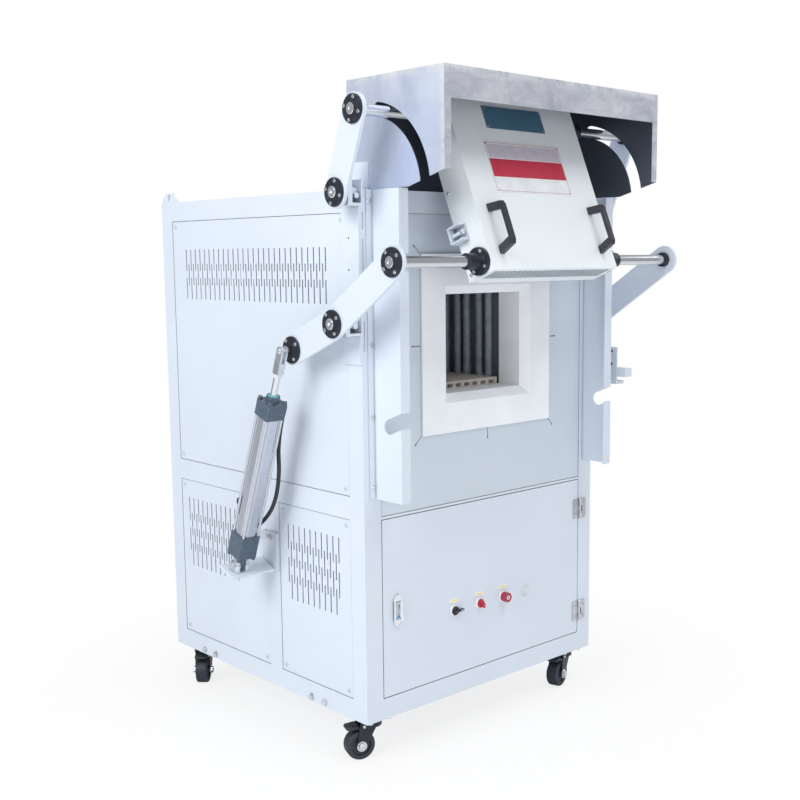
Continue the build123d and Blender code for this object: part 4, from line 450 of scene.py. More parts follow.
def brushed(name, colour, roughness, stretch, stain=0.12, grain=0.16):
    """Sheet or bar metal with a grain along one axis and uneven handling marks."""
    s = Shader(name, colour, roughness, 1.0)
    lines = s.noise(1.0, 4.0, 0.6, s.stretched(stretch))
    blotch = s.noise(5.0, 5.0, 0.62, distortion=0.6)
    handled = s.ramp(blotch, ((0.3, 0.0), (0.68, 1.0)))
    tone = s.mix(handled, scaled(colour, 1.0 - stain), colour)
    s.colour(s.mix(s.remap(lines, 0.3, 0.7, 0.0, 0.35), tone, scaled(colour, 0.72)))
    fine = s.remap(lines, 0.3, 0.7, -0.06, 0.08)
    coarse = s.remap(blotch, 0.3, 0.7, roughness - 0.05, roughness + 0.1)
    s.roughness(s.math("ADD", fine, coarse))
    s.bump(lines, grain, 0.0002)
    return s.material


def ground(name, colour, roughness=0.16):
    """Ground and hard chromed bar: fine rings round the bar and faint smears."""
    s = Shader(name, colour, roughness, 1.0)
    rings = s.noise(1.0, 2.0, 0.5, s.stretched((2600.0, 12.0, 12.0)))
    smear = s.noise(24.0, 4.0)
    s.colour(s.mix(s.remap(smear, 0.35, 0.7, 0.0, 0.25), colour, scaled(colour, 0.78)))
    fine = s.remap(rings, 0.3, 0.7, -0.03, 0.05)
    coarse = s.remap(smear, 0.3, 0.7, roughness - 0.02, roughness + 0.08)
    s.roughness(s.math("ADD", fine, coarse))
    s.bump(rings, 0.05, 0.00008)
    return s.material


def blackened(name, colour, roughness=0.34, metallic=0.35):
    """Blackened steel, a little lighter where it is worn."""
    s = Shader(name, colour, roughness, metallic)
    wear = s.noise(70.0, 5.0, 0.65)
    worn = s.ramp(wear, ((0.55, 0.0), (0.78, 1.0)))
    s.colour(s.mix(worn, colour, scaled(colour, 2.6, 0.02)))
    s.roughness(s.remap(wear, 0.3, 0.75, roughness - 0.05, roughness + 0.16))
    s.bump(s.noise(480.0, 3.0), 0.10, 0.0003)
    return s.material


def moulded(name, colour, roughness=0.5, grain=0.12, scale=900.0):
    """Moulded plastic or rubber with a fine eroded grain."""
    s = Shader(name, colour, roughness)
    pits = s.noise(scale, 3.0, 0.6)
    tone = s.noise(30.0, 3.0)
    s.colour(s.mix(s.remap(tone, 0.3, 0.7, 0.0, 0.5), colour, scaled(colour, 1.35, 0.006)))
    s.roughness(s.remap(pits, 0.3, 0.7, roughness - 0.06, roughness + 0.08))
    s.bump(pits, grain, 0.0002)
    return s.material


def fibre(name, colour, dark):
    """Ceramic fibre board: chalky, with fine fibres, pits and slow grey clouds."""
    s = Shader(name, colour, 0.93)
    fibres = s.noise(420.0, 6.0, 0.7, distortion=1.4)
    cloud = s.noise(9.0, 5.0, 0.6)
    pits = s.voronoi(210.0)
    tone = s.mix(s.ramp(cloud, ((0.32, 0.0), (0.72, 1.0))), dark, colour)
    strands = s.ramp(fibres, ((0.62, 0.0), (0.85, 0.5)))
    s.colour(s.mix(strands, tone, scaled(dark, 0.72)))
    s.bump(fibres, 0.35, 0.0006)
    s.bump(pits, 0.10, 0.0008)
    return s


paint = powder("white powder coat", (0.70, 0.76, 0.845))
# The front plate gets a darker copy of the white powder coat: painted shade.
shaded_front_paint = powder("front sheet powder coat", (0.62, 0.69, 0.765))
lock_paint = powder("lock handle coat", (0.62, 0.68, 0.75), 0.30, 0.04)
zinc = brushed("zinc plate", (0.60, 0.63, 0.67), 0.34, (30.0, 30.0, 30.0), 0.2, 0.1)
bright = ground("ground shaft", (0.74, 0.75, 0.77))
screw_steel = brushed("screw steel", (0.80, 0.81, 0.84), 0.26, (90.0, 90.0, 90.0), 0.2, 0.08)
pale_screw = powder("painted screw", (0.60, 0.66, 0.73), 0.35, 0.1)
chrome = ground("chromed ring", (0.86, 0.88, 0.91), 0.12)
bezel_metal = powder("bezel metal", (0.95, 0.95, 0.96), 0.18, 0.03)
black_iron = blackened("blackened bearing", (0.020, 0.024, 0.036))
black_steel = blackened("black caster steel", (0.014, 0.017, 0.026), 0.26, 0.2)
handle_black = moulded("handle black", (0.022, 0.026, 0.034), 0.34, 0.08)
hinge_zinc = brushed("hinge zinc", (0.68, 0.69, 0.72), 0.24, (200.0, 200.0, 8.0), 0.25, 0.1)
tube_metal = brushed("anodised tube", (0.66, 0.69, 0.75), 0.36, (300.0, 300.0, 6.0), 0.08, 0.06)
black_plastic = moulded("black plastic", (0.016, 0.019, 0.026), 0.38)
rubber = moulded("hose rubber", (0.014, 0.014, 0.016), 0.38, 0.05)
tread = moulded("wheel tread", (0.022, 0.025, 0.034), 0.5, 0.2, 500.0)
red_plastic = moulded("red plastic", (0.44, 0.016, 0.045), 0.30, 0.04)
dark_red = moulded("buzzer red", (0.36, 0.040, 0.080), 0.36, 0.05)
grey_plastic = moulded("grey plastic", (0.28, 0.30, 0.33), 0.45)
lamp_plastic = moulded("lamp lens", (0.62, 0.66, 0.70), 0.25, 0.03)
label_yellow = moulded("label yellow", (0.83, 0.70, 0.33), 0.5, 0.03)
teal = moulded("wiper ring", (0.10, 0.42, 0.46), 0.4, 0.05)
blue_plastic = moulded("blue plastic", (0.05, 0.22, 0.42), 0.35, 0.05)
sign_white = moulded("sign white", (0.78, 0.80, 0.84), 0.34, 0.03)
sign_red = moulded("sign red", (0.52, 0.030, 0.065), 0.34, 0.03)
sign_line = moulded("sign border", (0.42, 0.16, 0.19), 0.34, 0.03)
sign_blue = moulded("sign blue", (0.060, 0.150, 0.225), 0.30, 0.03)
sign_silver = powder("sign silver", (0.66, 0.61, 0.70), 0.28, 0.08)


def hood_steel():
    """Cold rolled stainless: cloudy marks, with painted reflection and shade in the cheek and
    fascia tones, a painted highlight along the outer corner and top, and painted shade on the
    inside.
    """
    s = Shader("hood stainless", (0.62, 0.66, 0.76), 0.34, 0.7)
    face = FRONT - 0.2290
    back = FRONT + 0.0838
    side = 0.3607
    top = BASE + 1.4620
    grain = s.noise(1.0, 3.0, 0.6, s.stretched((260.0, 10.0, 10.0)))
    cloud = s.noise(3.4, 5.0, 0.62, distortion=1.1)
    # The cheek's bright bluish tones and the fascia's darker tones are partly cloudy marks, partly
    # painted reflection and shade.
    cheek = s.ramp(
        cloud, ((0.30, (0.65, 0.71, 0.90)), (0.55, (0.78, 0.84, 0.99)), (0.75, (0.90, 0.94, 1.0)))
    )
    fascia = s.ramp(
        s.noise(11.0, 5.0, 0.72, s.stretched((0.8, 1.0, 1.6)), 0.5),
        ((0.34, (0.56, 0.57, 0.66)), (0.50, (0.71, 0.725, 0.81)), (0.70, (0.93, 0.94, 0.99))),
    )
    on_front = s.remap(s.axis("Y"), face - 0.0003, face + 0.0003, 1.0, 0.0)
    s.colour(s.mix(on_front, cheek, fascia))
    # A near-white band along the cheeks' front corner and the top edge: painted highlight.
    by_corner = s.remap(s.axis("Y"), face + 0.0040, face + 0.0170, 1.0, 0.0)
    by_corner = s.both(by_corner, s.math("SUBTRACT", 1.0, on_front))
    by_top = s.remap(s.axis("Z"), top - 0.0180, top - 0.0030, 0.0, 1.0)
    ragged = s.ramp(s.noise(26.0, 5.0, 0.7), ((0.42, 0.0), (0.54, 1.0)))
    s.overlay(s.both(s.either(by_corner, by_top), ragged), (0.92, 0.94, 0.98))
    # The inner faces of the hood are made dark: painted shade.
    outer = s.either(s.outside("X", side), s.below(s.axis("Y"), face + 0.0002))
    outer = s.either(outer, s.above(s.axis("Y"), back))
    outer = s.either(outer, s.above(s.axis("Z"), top - 0.0002))
    s.overlay(s.math("SUBTRACT", 1.0, outer), (0.155, 0.175, 0.225))
    s.roughness(s.remap(cloud, 0.3, 0.7, 0.28, 0.46))
    s.bump(grain, 0.05, 0.0002)
    s.bump(s.noise(5.0, 2.0), 0.25, 0.003)
    return s.material


def cap_and_tie_rods():
    """Slate paint on the cylinder's caps and bright steel on the tie rods between them."""
    s = Shader("cylinder caps and tie rods", (0.075, 0.105, 0.145), 0.40)
    rear_cap, front_cap = 0.0825, 0.3975
    along = s.leaning(-CYLINDER_LEAN, place(0.0, *CYLINDER_PIN))
    between = s.both(s.above(along, rear_cap), s.below(along, front_cap))
    speck = s.noise(160.0, 4.0)
    slate = s.ramp(speck, ((0.35, (0.062, 0.090, 0.128)), (0.70, (0.098, 0.132, 0.176))))
    s.colour(s.mix(between, slate, (0.62, 0.64, 0.68)))
    s.link(s.math("MULTIPLY", between, 0.9), s.bsdf.inputs["Metallic"])
    s.roughness(s.remap(speck, 0.3, 0.7, 0.30, 0.46))
    s.bump(speck, 0.12, 0.0003)
    return s.material


def door_filling():
    """The door's fibre fill, with painted shade, dark grey, where it faces the perforated
    underside.
    """
    s = fibre("door filling", (0.74, 0.765, 0.81), (0.64, 0.66, 0.70))
    shade_level = -0.0195
    up = s.leaning(DOOR_TILT, place(0.0, *LOWER_HUB))
    # Painted shade: the fill behind the perforated underside is made dark grey.
    s.overlay(s.below(up, shade_level), (0.16, 0.18, 0.21))
    return s.material


def perforated_paint():
    """The lift door's paint, set lighter than the cabinet's as painted light, with painted shade:
    grey on the perforated underside and dark inside its slots.
    """
    # The coat is set lighter than the cabinet's white powder coat: painted light.
    s = powder_shader("lift door powder coat", (0.86, 0.905, 0.93), 0.38, 0.04)
    hub = place(0.0, *LOWER_HUB)
    underside = -0.032
    thickness = 0.0021
    half_width, half_depth = 0.202, 0.022
    up = s.leaning(DOOR_TILT, hub)
    across = s.math("ABSOLUTE", s.leaning(DOOR_TILT + 90.0, hub))
    beside = s.either(s.outside("X", half_width), s.above(across, half_depth))
    sheet = s.both(s.below(up, underside + thickness), s.math("SUBTRACT", 1.0, beside))
    # Grey on the downward facing perforated underside: painted shade.
    s.overlay(sheet, (0.50, 0.55, 0.60))
    # Dark on the walls inside the slots of the perforated sheet: painted shade.
    s.overlay(s.both(sheet, s.above(up, underside + 0.0002)), (0.08, 0.10, 0.13))
    return s.material


def lining_darkened_inside():
    """White fibre walls, darkened inside the side walls, in a dark casing."""
    s = fibre("chamber lining", (0.95, 0.955, 0.97), (0.86, 0.865, 0.88))
    wall, casing = 0.1495, 0.2590
    mouth = FRONT + 0.0855
    # The side walls inside the chamber are made dark grey.
    darkened_side_walls = s.both(s.outside("X", wall), s.above(s.axis("Y"), mouth))
    s.overlay(darkened_side_walls, (0.16, 0.185, 0.215))
    s.overlay(s.outside("X", casing), (0.09, 0.10, 0.12))
    return s.material


def carbide():
    """Silicon carbide rod, blotchy and rough."""
    s = Shader("silicon carbide rod", (0.14, 0.16, 0.19), 0.55)
    blotch = s.noise(38.0, 5.0, 0.65)
    s.colour(s.ramp(blotch, ((0.3, (0.15, 0.172, 0.21)), (0.7, (0.27, 0.30, 0.35)))))
    s.bump(s.noise(700.0, 4.0, 0.7), 0.4, 0.0005)
    return s.material


door_paint = perforated_paint()
cap_paint = cap_and_tie_rods()
filling = door_filling()
stainless = hood_steel()
board = fibre("ceramic fibre board", (0.93, 0.945, 0.98), (0.86, 0.875, 0.91)).material
lining = lining_darkened_inside()
hearth = fibre("hearth ceramic", (0.66, 0.60, 0.54), (0.50, 0.455, 0.41)).material
rods = carbide()

PAINTED = (
    "cabinet_shell",
    "roof_panel",
    "rear_panels",
    "left_upper_panel",
    "left_lower_panels",
    "right_upper_panel",
    "right_lower_panels",
    "guide_channels",
    "pivot_brackets",
    "cylinder_brackets",
    "lower_arm_left",
    "lower_arm_right",
    "upper_arm_left",
    "upper_arm_right",
    "door_stop_brackets",
    "cabinet_door",
    "limit_switch",
    "caster_plates",
)
LOOKS = {
    "front_plate": shaded_front_paint,
    "door_shell": door_paint,
    "hood": stainless,
    "upper_shafts": bright,
    "door_shafts": bright,
    "piston_rods": bright,
    "rod_clevises": screw_steel,
    "panel_screws": screw_steel,
    "hinge_frame_leaves": hinge_zinc,
    "hinge_door_leaves": hinge_zinc,
    "thermocouple": zinc,
    "lower_arm_bearings": black_iron,
    "upper_arm_bearings": black_iron,
    "door_hubs": black_iron,
    "door_handles": handle_black,
    "mouth_frame": board,
    "chamber_lining": lining,
    "door_insulation": filling,
    "setter_plate": hearth,
    "heating_elements": rods,
    "cylinder_caps": cap_paint,
    "cylinder_tubes": tube_metal,
    "door_lock": chrome,
    "lock_handle": lock_paint,
    "selector_lever": black_plastic,
    "control_devices": chrome,
    "heat_knob": red_plastic,
    "door_nameplates": sign_white,
    "air_hoses": rubber,
    "hose_glands": black_plastic,
    "power_unit": grey_plastic,
    "air_valves": grey_plastic,
}
for name in PAINTED:
    LOOKS[name] = paint
for corner in ("front_left", "front_right", "rear_left", "rear_right"):
    LOOKS[f"caster_fork_{corner}"] = black_steel
    LOOKS[f"caster_wheel_{corner}"] = tread


def soften(obj, width):
    """Break the sharp edges of a piece with a small round."""
    bevel = obj.modifiers.new("edges", "BEVEL")
    bevel.width = width
    bevel.segments = 2
    bevel.limit_method = "ANGLE"
    bevel.angle_limit = SHARP
    bevel.harden_normals = True


EDGE = {
    "cabinet_shell": 0.0012,
    "hood": 0.0006,
    "cabinet_door": 0.0008,
    "door_shell": 0.0009,
    "door_handles": 0.0012,
    "lower_arm_left": 0.0009,
    "lower_arm_right": 0.0009,
    "upper_arm_left": 0.0009,
    "upper_arm_right": 0.0009,
    "guide_channels": 0.0010,
    "pivot_brackets": 0.0010,
    "cylinder_brackets": 0.0010,
    "rod_clevises": 0.0008,
    "mouth_frame": 0.0012,
    "cylinder_caps": 0.0010,
}
for name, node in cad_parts.items():
    node.data.materials.clear()
    node.data.materials.append(LOOKS[name])
    if name in EDGE:
        soften(node, EDGE[name])

# Bearings of the arms and the door's hubs, with their screws

BEARING_FLANGE = 0.0050
HUB_FLANGE = 0.0090
AXLE_PROUD = 0.0090
BEARING_FACE = (
    (0.0310, 0.0),
    (0.0310, BEARING_FLANGE - 0.0008),
    (0.0302, BEARING_FLANGE),
    (0.0200, BEARING_FLANGE),
    (0.0186, 0.0055),
    (0.0180, 0.0063),
    (0.0180, 0.0074),
    (0.0174, 0.0080),
    (0.0146, 0.0080),
    (0.0138, 0.0073),
)
BEARING_SLEEVE = ((0.0180, 0.0), (0.0180, -0.0170))
BEARING_BORE = ((0.0126, 0.0073), (0.0126, -0.0170))
HUB_RINGS = (
    (0.0310, 0.0),
    (0.0310, HUB_FLANGE - 0.0008),
    (0.0302, HUB_FLANGE),
    (0.0200, HUB_FLANGE),
    (0.0184, 0.0096),
    (0.0180, 0.0106),
    (0.0180, 0.0450),
    (0.0172, 0.0460),
    (0.0127, 0.0460),
    (0.0127, 0.0),
)
AXLE_END = (
    (0.0122, -0.0010),
    (0.0122, 0.0002),
    (0.0114, 0.0009),
    (0.0036, 0.0009),
    (0.0018, -0.0004),
)


def bearing(piece, seat, angle, closed=False):
    """A flange bearing whose frame stands on the outside of an arm. A closed one has no bore."""
    if closed:
        piece.turned(seat, BEARING_FACE, black_iron, segments=48)
        piece.turned(seat, BEARING_SLEEVE, black_iron, segments=48)
    else:
        rings = BEARING_FACE + BEARING_BORE + BEARING_SLEEVE[::-1]
        piece.turned(seat, rings, black_iron, ring=True, segments=48)
    bearing_screws(piece, seat, angle, BEARING_FLANGE)


def bearing_screws(piece, seat, angle, height):
    """Four socket screws in a flange of the height given."""
    for quarter in range(4):
        spot = seat @ spin(angle + 90.0 * quarter) @ shift(0.0245, 0.0, height)
        piece.socket_screw(spot, 0.0042, 0.0030, screw_steel)


lower_bearings = Piece("lower_arm_flange_bearings")
upper_bearings = Piece("upper_arm_flange_bearings")
axle_ends = Piece("pivot_axle_ends")
lower_ends = Piece("lower_shaft_ends")
upper_ends = Piece("upper_shaft_ends")
hubs = Piece("door_hub_flanges")
for side in SIDES:
    for centre, closed in ((LOWER_PIVOT, False), (LOWER_HUB, False), (CRANK_PIN, True)):
        seat = side @ facing(place(LOWER_SEAT, *centre), TO_LEFT)
        bearing(lower_bearings, seat, -55.0, closed)
    for centre in (UPPER_PIVOT, UPPER_HUB):
        seat = side @ facing(place(UPPER_SEAT, *centre), TO_LEFT)
        bearing(upper_bearings, seat, -18.0)
    for ends, seat_x, centre in (
        (axle_ends, LOWER_SEAT, LOWER_PIVOT),
        (axle_ends, UPPER_SEAT, UPPER_PIVOT),
        (lower_ends, LOWER_SEAT, LOWER_HUB),
        (upper_ends, UPPER_SEAT, UPPER_HUB),
    ):
        seat = side @ facing(place(seat_x - AXLE_PROUD, *centre), TO_LEFT)
        ends.turned(seat, AXLE_END, chrome)
    for height in (0.0, HUB_SPACING):
        seat = side @ DOOR @ facing((DOOR_SIDE, 0.0, height), TO_LEFT)
        hubs.turned(seat, HUB_RINGS, black_iron, ring=True, segments=48)
        bearing_screws(hubs, seat, 45.0, HUB_FLANGE)
lower_bearings.done("lower_arms", "lower_arm_bearings")
upper_bearings.done("upper_arms", "upper_arm_bearings")
axle_ends.done("base")
lower_ends.done("door")
upper_ends.done("upper_arms")
hubs.done("door", "door_hubs")

# Signs, side screws and stop screws of the lift door

DOOR_FACE = -0.0325
STOP_X = -0.2265
STOP_HEIGHT = 0.076
SIGN_PIN = ((0.0032, 0.0), (0.0030, 0.0010), (0.0018, 0.0017), (0.0005, 0.0019))


def on_door(x, height):
    """A frame on the outer face of the lift door."""
    return DOOR @ facing((x, DOOR_FACE, height), TO_FRONT)


signs = Piece("door_sign_plates")
upper_sign = on_door(-0.004, 0.338)
signs.drawn(upper_sign, rounded_box(0.200, 0.058, 0.003), 0.0, 0.0012, screw_steel, 0.0004)
signs.drawn(upper_sign, rounded_box(0.196, 0.054, 0.002), 0.0012, 0.0016, sign_blue, 0.0002)
lower_sign = on_door(-0.0035, 0.2145)
signs.drawn(lower_sign, rounded_box(0.257, 0.125, 0.004), 0.0, 0.0014, sign_white, 0.0004)
signs.framed(lower_sign, rounded_box(0.251, 0.119, 0.003), 0.0009, 0.0014, 0.0016, sign_line)
for y, width, height, colour in (
    (0.0385, 0.243, 0.034, sign_silver),
    (-0.0025, 0.247, 0.044, sign_red),
):
    field = rounded_box(width, height, 0.001)
    signs.drawn(lower_sign @ shift(0.0, y), field, 0.0014, 0.0017, colour)
for middle, width, height in ((upper_sign, 0.186, 0.044), (lower_sign, 0.243, 0.111)):
    for sx in (-0.5, 0.5):
        for sy in (-0.5, 0.5):
            spot = middle @ shift(sx * width, sy * height, 0.0012)
            signs.turned(spot, SIGN_PIN, chrome)
signs.done("door", "door_nameplates")

door_screws = Piece("door_side_screws")
for side in SIDES:
    for height in (0.176, 0.385, -0.018):
        spot = side @ DOOR @ facing((DOOR_SIDE, 0.036, height), TO_LEFT)
        door_screws.pan_screw(spot, 0.0048, 0.0026, screw_steel)
    stop = side @ DOOR @ facing((STOP_X, 0.0170, STOP_HEIGHT), TO_FRONT)
    door_screws.hex_bolt(stop, 0.0062, 0.0050, screw_steel)
    nut = side @ DOOR @ facing((STOP_X, 0.0472, STOP_HEIGHT), TO_BACK)
    door_screws.turned(nut, ((0.0042, 0.0, 6), (0.0042, 0.0034, 6), (0.0036, 0.0040)), screw_steel)
door_screws.done("door")

# Cylinders: pins, wiper rings and bolts

WIPER = (
    (0.0122, 0.4505),
    (0.0122, 0.4518),
    (0.0112, 0.4525),
    (0.0083, 0.4525),
    (0.0083, 0.4505),
)
PIN_HEAD = (
    (0.0072, 0.0),
    (0.0072, 0.0014),
    (0.0056, 0.0018),
    (0.0056, 0.0030),
    (0.0046, 0.0036),
    (0.0014, 0.0036),
    (0.0010, 0.0028),
)
wipers = Piece("rod_wiper_rings")
pins = Piece("clevis_pin_heads")
base_bolts = Piece("cylinder_bracket_bolts")
for side in SIDES:
    wipers.turned(side @ CYLINDER, WIPER, teal, ring=True)
    head = side @ CYLINDER @ facing((-0.0090, 0.0, CYLINDER_PIN_SPACING), TO_LEFT)
    pins.turned(head, PIN_HEAD, chrome)
    for x, out in ((-0.0165, TO_LEFT), (0.0165, TO_RIGHT)):
        foot = side @ CYLINDER @ facing((x, 0.0, 0.0), out)
        base_bolts.hex_bolt(foot, 0.0090, 0.0060, screw_steel, 0.0012)
    wall = side @ facing(place(LEFT - 0.006, CYLINDER_PIN[0], CYLINDER_PIN[1] + 0.0465), TO_LEFT)
    base_bolts.hex_bolt(wall, 0.0078, 0.0058, screw_steel, 0.0012)
wipers.done("cylinders")
pins.done("rods")
base_bolts.done("base")

# Hoses, from the front caps' fittings to the glands, along the same points as the CAD hoses

HOSE_START_X = CYLINDER_X + 0.026 + 0.013
HOSE_START_ALONG = (0.3984, 0.3284)
# Each as distance out of the side wall, depth and height
HOSE_BENDS = (
    (0.054, 0.246, 0.560),
    (0.050, 0.280, 0.475),
    (0.045, 0.365, 0.412),
    (0.030, 0.448, 0.400),
    (0.015, 0.480, 0.454),
)


def hose_points():
    """Two points beside the cylinder's barrel, then the bends on the way to the gland."""
    points = []
    for along in HOSE_START_ALONG:
        spot = polar(CYLINDER_PIN, along, 90.0 + CYLINDER_LEAN)
        points.append(place(HOSE_START_X, *spot))
    for out, depth, height in HOSE_BENDS:
        points.append(place(LEFT - out, depth, height))
    return points


def hose(name, side):
    """A hose of one side, and the point where it starts."""
    curve = bpy.data.curves.new(name, "CURVE")
    curve.dimensions = "3D"
    curve.bevel_depth = 0.005
    curve.bevel_resolution = 5
    points = [side @ point for point in hose_points()]
    spline = curve.splines.new("NURBS")
    spline.points.add(len(points) - 1)
    for knot, point in zip(spline.points, points):
        knot.co = (*point, 1.0)
    spline.order_u = 3
    spline.use_endpoint_u = True
    spline.resolution_u = 12
    curve.materials.append(rubber)
    made = bpy.data.objects.new(name, curve)
    bpy.context.collection.objects.link(made)
    return made, points[0]


# Screws and bolts of the cabinet

# Side panels as depth from, depth to, height from, height to
PANELS = (
    (0.050, 0.783, 0.532, 1.172),
    (0.050, 0.330, 0.050, 0.478),
    (0.380, 0.783, 0.050, 0.478),
)
PANEL_SCREW_INSET = 0.016


def any_turn(limit):
    """The chance angle at which a screw came to rest."""
    return spin(random.uniform(0.0, limit))


fasteners = Piece("cabinet_screws_and_bolts")
for side in SIDES:
    for d0, d1, h0, h1 in PANELS:
        for depth in (d0 + PANEL_SCREW_INSET, d1 - PANEL_SCREW_INSET):
            for height in (h0 + PANEL_SCREW_INSET, h1 - PANEL_SCREW_INSET):
                spot = side @ facing(place(LEFT + 0.001, depth, height), TO_LEFT)
                fasteners.pan_screw(spot @ any_turn(90.0), 0.0055, 0.0022, pale_screw)
    for height in (1.196, 0.879, 0.717, 0.557):
        spot = side @ facing(place(LEFT + 0.025, -0.003, height), TO_FRONT)
        fasteners.pan_screw(spot @ any_turn(90.0), 0.0055, 0.0022, screw_steel)
    for depth in (0.159, 0.211, 0.638, 0.691):
        spot = side @ facing(place(LEFT, depth, 0.012), TO_LEFT)
        fasteners.hex_bolt(spot @ any_turn(60.0), 0.0068, 0.0048, screw_steel, 0.0010)
fasteners.done("base", "panel_screws")

# Hinges, lock and controls of the cabinet door

HINGE_X = 0.353
hinge_screws = Piece("hinge_screws_on_the_frame")
leaf_screws = Piece("hinge_screws_on_the_door")
for bottom in (0.087, 0.371):
    for z in (0.011, 0.041):
        for piece, x in ((hinge_screws, HINGE_X + 0.0165), (leaf_screws, HINGE_X - 0.0165)):
            piece.pan_screw(facing(place(x, -0.003, bottom + z), TO_FRONT), 0.0036, 0.0014, zinc)
    top = Matrix.Translation(place(HINGE_X, -0.005, bottom + 0.052))
    hinge_screws.turned(top, ((0.0050, 0.0), (0.0046, 0.0012), (0.0030, 0.0020)), chrome)
    # A black strip down each hinge's barrel stands for the shaded gap there: painted shade.
    barrel_gap_shade_at = facing(place(HINGE_X, -0.0098, bottom + 0.026), TO_FRONT)
    barrel_gap_shade = rounded_box(0.0034, 0.0150, 0.0012)
    leaf_screws.drawn(barrel_gap_shade_at, barrel_gap_shade, -0.0010, 0.0004, black_plastic, 0.0002)
hinge_screws.done("base")
leaf_screws.done("cabinet_door")

LOCK = facing(place(-0.305, -0.005, 0.2555), TO_FRONT)
lock_trim = Piece("lock_rim")
lock_trim.framed(LOCK, rounded_box(0.028, 0.077, 0.01395), 0.0030, -0.002, 0.0012, chrome)
lock_trim.done("cabinet_door")
grip = Piece("lock_handle_grip_and_button")
pad = rounded_box(0.0098, 0.0280, 0.0045)
grip.drawn(LOCK @ shift(0.0, 0.0040, -0.0008), pad, 0.0, 0.0014, lock_paint, 0.0005)
button = ((0.0046, -0.0010), (0.0046, 0.0006), (0.0038, 0.0012), (0.0012, 0.0012))
grip.turned(LOCK @ shift(0.0, -0.0150), button, blue_plastic)
grip.done("lock_handle")

CONTROL_HEIGHT = 0.214
X_LEVER, X_KNOB, X_BUZZER, X_LAMP = -0.119, -0.0305, 0.0535, 0.136


def control(x, proud=0.0):
    """A frame on the cabinet door, or proud of it, in the row of controls."""
    return facing(place(x, -proud, CONTROL_HEIGHT), TO_FRONT)


devices = Piece("switch_bezels_buzzer_lamp_and_labels")
for x, stem in ((X_LEVER, 0.0053), (X_KNOB, 0.0053), (X_BUZZER, 0.004), (X_LAMP, 0.004)):
    bezel = (
        (0.0148, 0.0),
        (0.0148, 0.0024),
        (0.0140, 0.0038),
        (0.0124, 0.0040),
        (0.0118, 0.0030),
        (stem, 0.0030),
        (stem, -0.0080),
        (0.0108, -0.0080),
        (0.0108, 0.0),
    )
    finish = lamp_plastic if x == X_LAMP else bezel_metal
    devices.turned(control(x), bezel, finish, ring=True, segments=36)
    barrel = (
        (0.0108, -0.0080),
        (0.0108, -0.0370),
        (0.0100, -0.0380),
        (stem, -0.0380),
        (stem, -0.0080),
    )
    devices.turned(control(x), barrel, black_plastic, ring=True)
    nut = ((0.0145, -0.0022), (0.0145, -0.0070), (0.0108, -0.0070), (0.0108, -0.0022))
    devices.turned(control(x), nut, grey_plastic, ring=True)
buzzer = [(0.0118, 0.0030), (0.0125, 0.0036)]
for number in range(4):
    low = 0.0045 + number * 0.0036
    buzzer += [(0.0125, low), (0.0125, low + 0.0022)]
    buzzer += [(0.0117, low + 0.0026), (0.0117, low + 0.0032)]
buzzer += [(0.0125, 0.0196), (0.0117, 0.0206), (0.0092, 0.0206), (0.0086, 0.0196)]
devices.turned(control(X_BUZZER), buzzer, dark_red, segments=36)
disc = ((0.0086, 0.0190), (0.0084, 0.0198), (0.0060, 0.0200), (0.0026, 0.0190))
devices.turned(control(X_BUZZER), disc, red_plastic)
collar = ((0.0052, 0.0190), (0.0052, 0.0204), (0.0044, 0.0207), (0.0030, 0.0207), (0.0026, 0.0190))
devices.turned(control(X_BUZZER), collar, sign_white)
hole = ((0.0026, 0.0185), (0.0024, 0.0196), (0.0012, 0.0199))
devices.turned(control(X_BUZZER), hole, black_plastic)
lens = ((0.0110, 0.0030), (0.0110, 0.0052), (0.0100, 0.0064), (0.0070, 0.0070), (0.0030, 0.0072))
devices.turned(control(X_LAMP), lens, lamp_plastic, segments=36)
for x in (X_LEVER, X_KNOB, X_BUZZER):
    label = facing(place(x, 0.0, 0.2385), TO_FRONT)
    devices.drawn(label, rounded_box(0.0300, 0.0105, 0.0050), 0.0, 0.0008, sign_white, 0.0002)
    devices.drawn(label, rounded_box(0.0235, 0.0066, 0.0030), 0.0008, 0.0010, label_yellow)
devices.done("cabinet_door", "control_devices")

KNOB_PROUD = 0.0044
KNOB_STEM = ((0.0050, 0.0), (0.0050, -0.0160), (0.0044, -0.0168))
KNOB_CAP = (
    (0.0096, -0.0006),
    (0.0104, 0.0002),
    (0.0104, 0.0028),
    (0.0096, 0.0040),
    (0.0060, 0.0044),
    (0.0030, 0.0044),
)
lever = Piece("lever_switch")
lever_at = control(X_LEVER, KNOB_PROUD)
lever.turned(lever_at, KNOB_CAP, black_plastic, segments=36)
lever.turned(lever_at, KNOB_STEM, black_plastic)
arm = rounded_box(0.0310, 0.0070, 0.0032)
lever.drawn(lever_at @ shift(0.0085, 0.0), arm, 0.0030, 0.0086, black_plastic, 0.0014)
mark = rounded_box(0.0100, 0.0016, 0.0007)
lever.drawn(lever_at @ shift(0.0165, 0.0), mark, 0.0084, 0.0088, sign_white)
lever.done("selector", "selector_lever")

knob = Piece("red_rotary_switch")
knob_at = control(X_KNOB, KNOB_PROUD) @ spin(-60.0)
knob.turned(knob_at, KNOB_CAP, red_plastic, segments=36)
knob.turned(knob_at, KNOB_STEM, red_plastic)
knob.drawn(knob_at, rounded_box(0.0240, 0.0084, 0.0038), 0.0036, 0.0132, red_plastic, 0.0022)
mark = rounded_box(0.0070, 0.0014, 0.0006)
knob.drawn(knob_at @ shift(0.0070, 0.0), mark, 0.0130, 0.0135, sign_white)
knob.done("knob", "heat_knob")

# Limit switch details and weld seams of the lugs

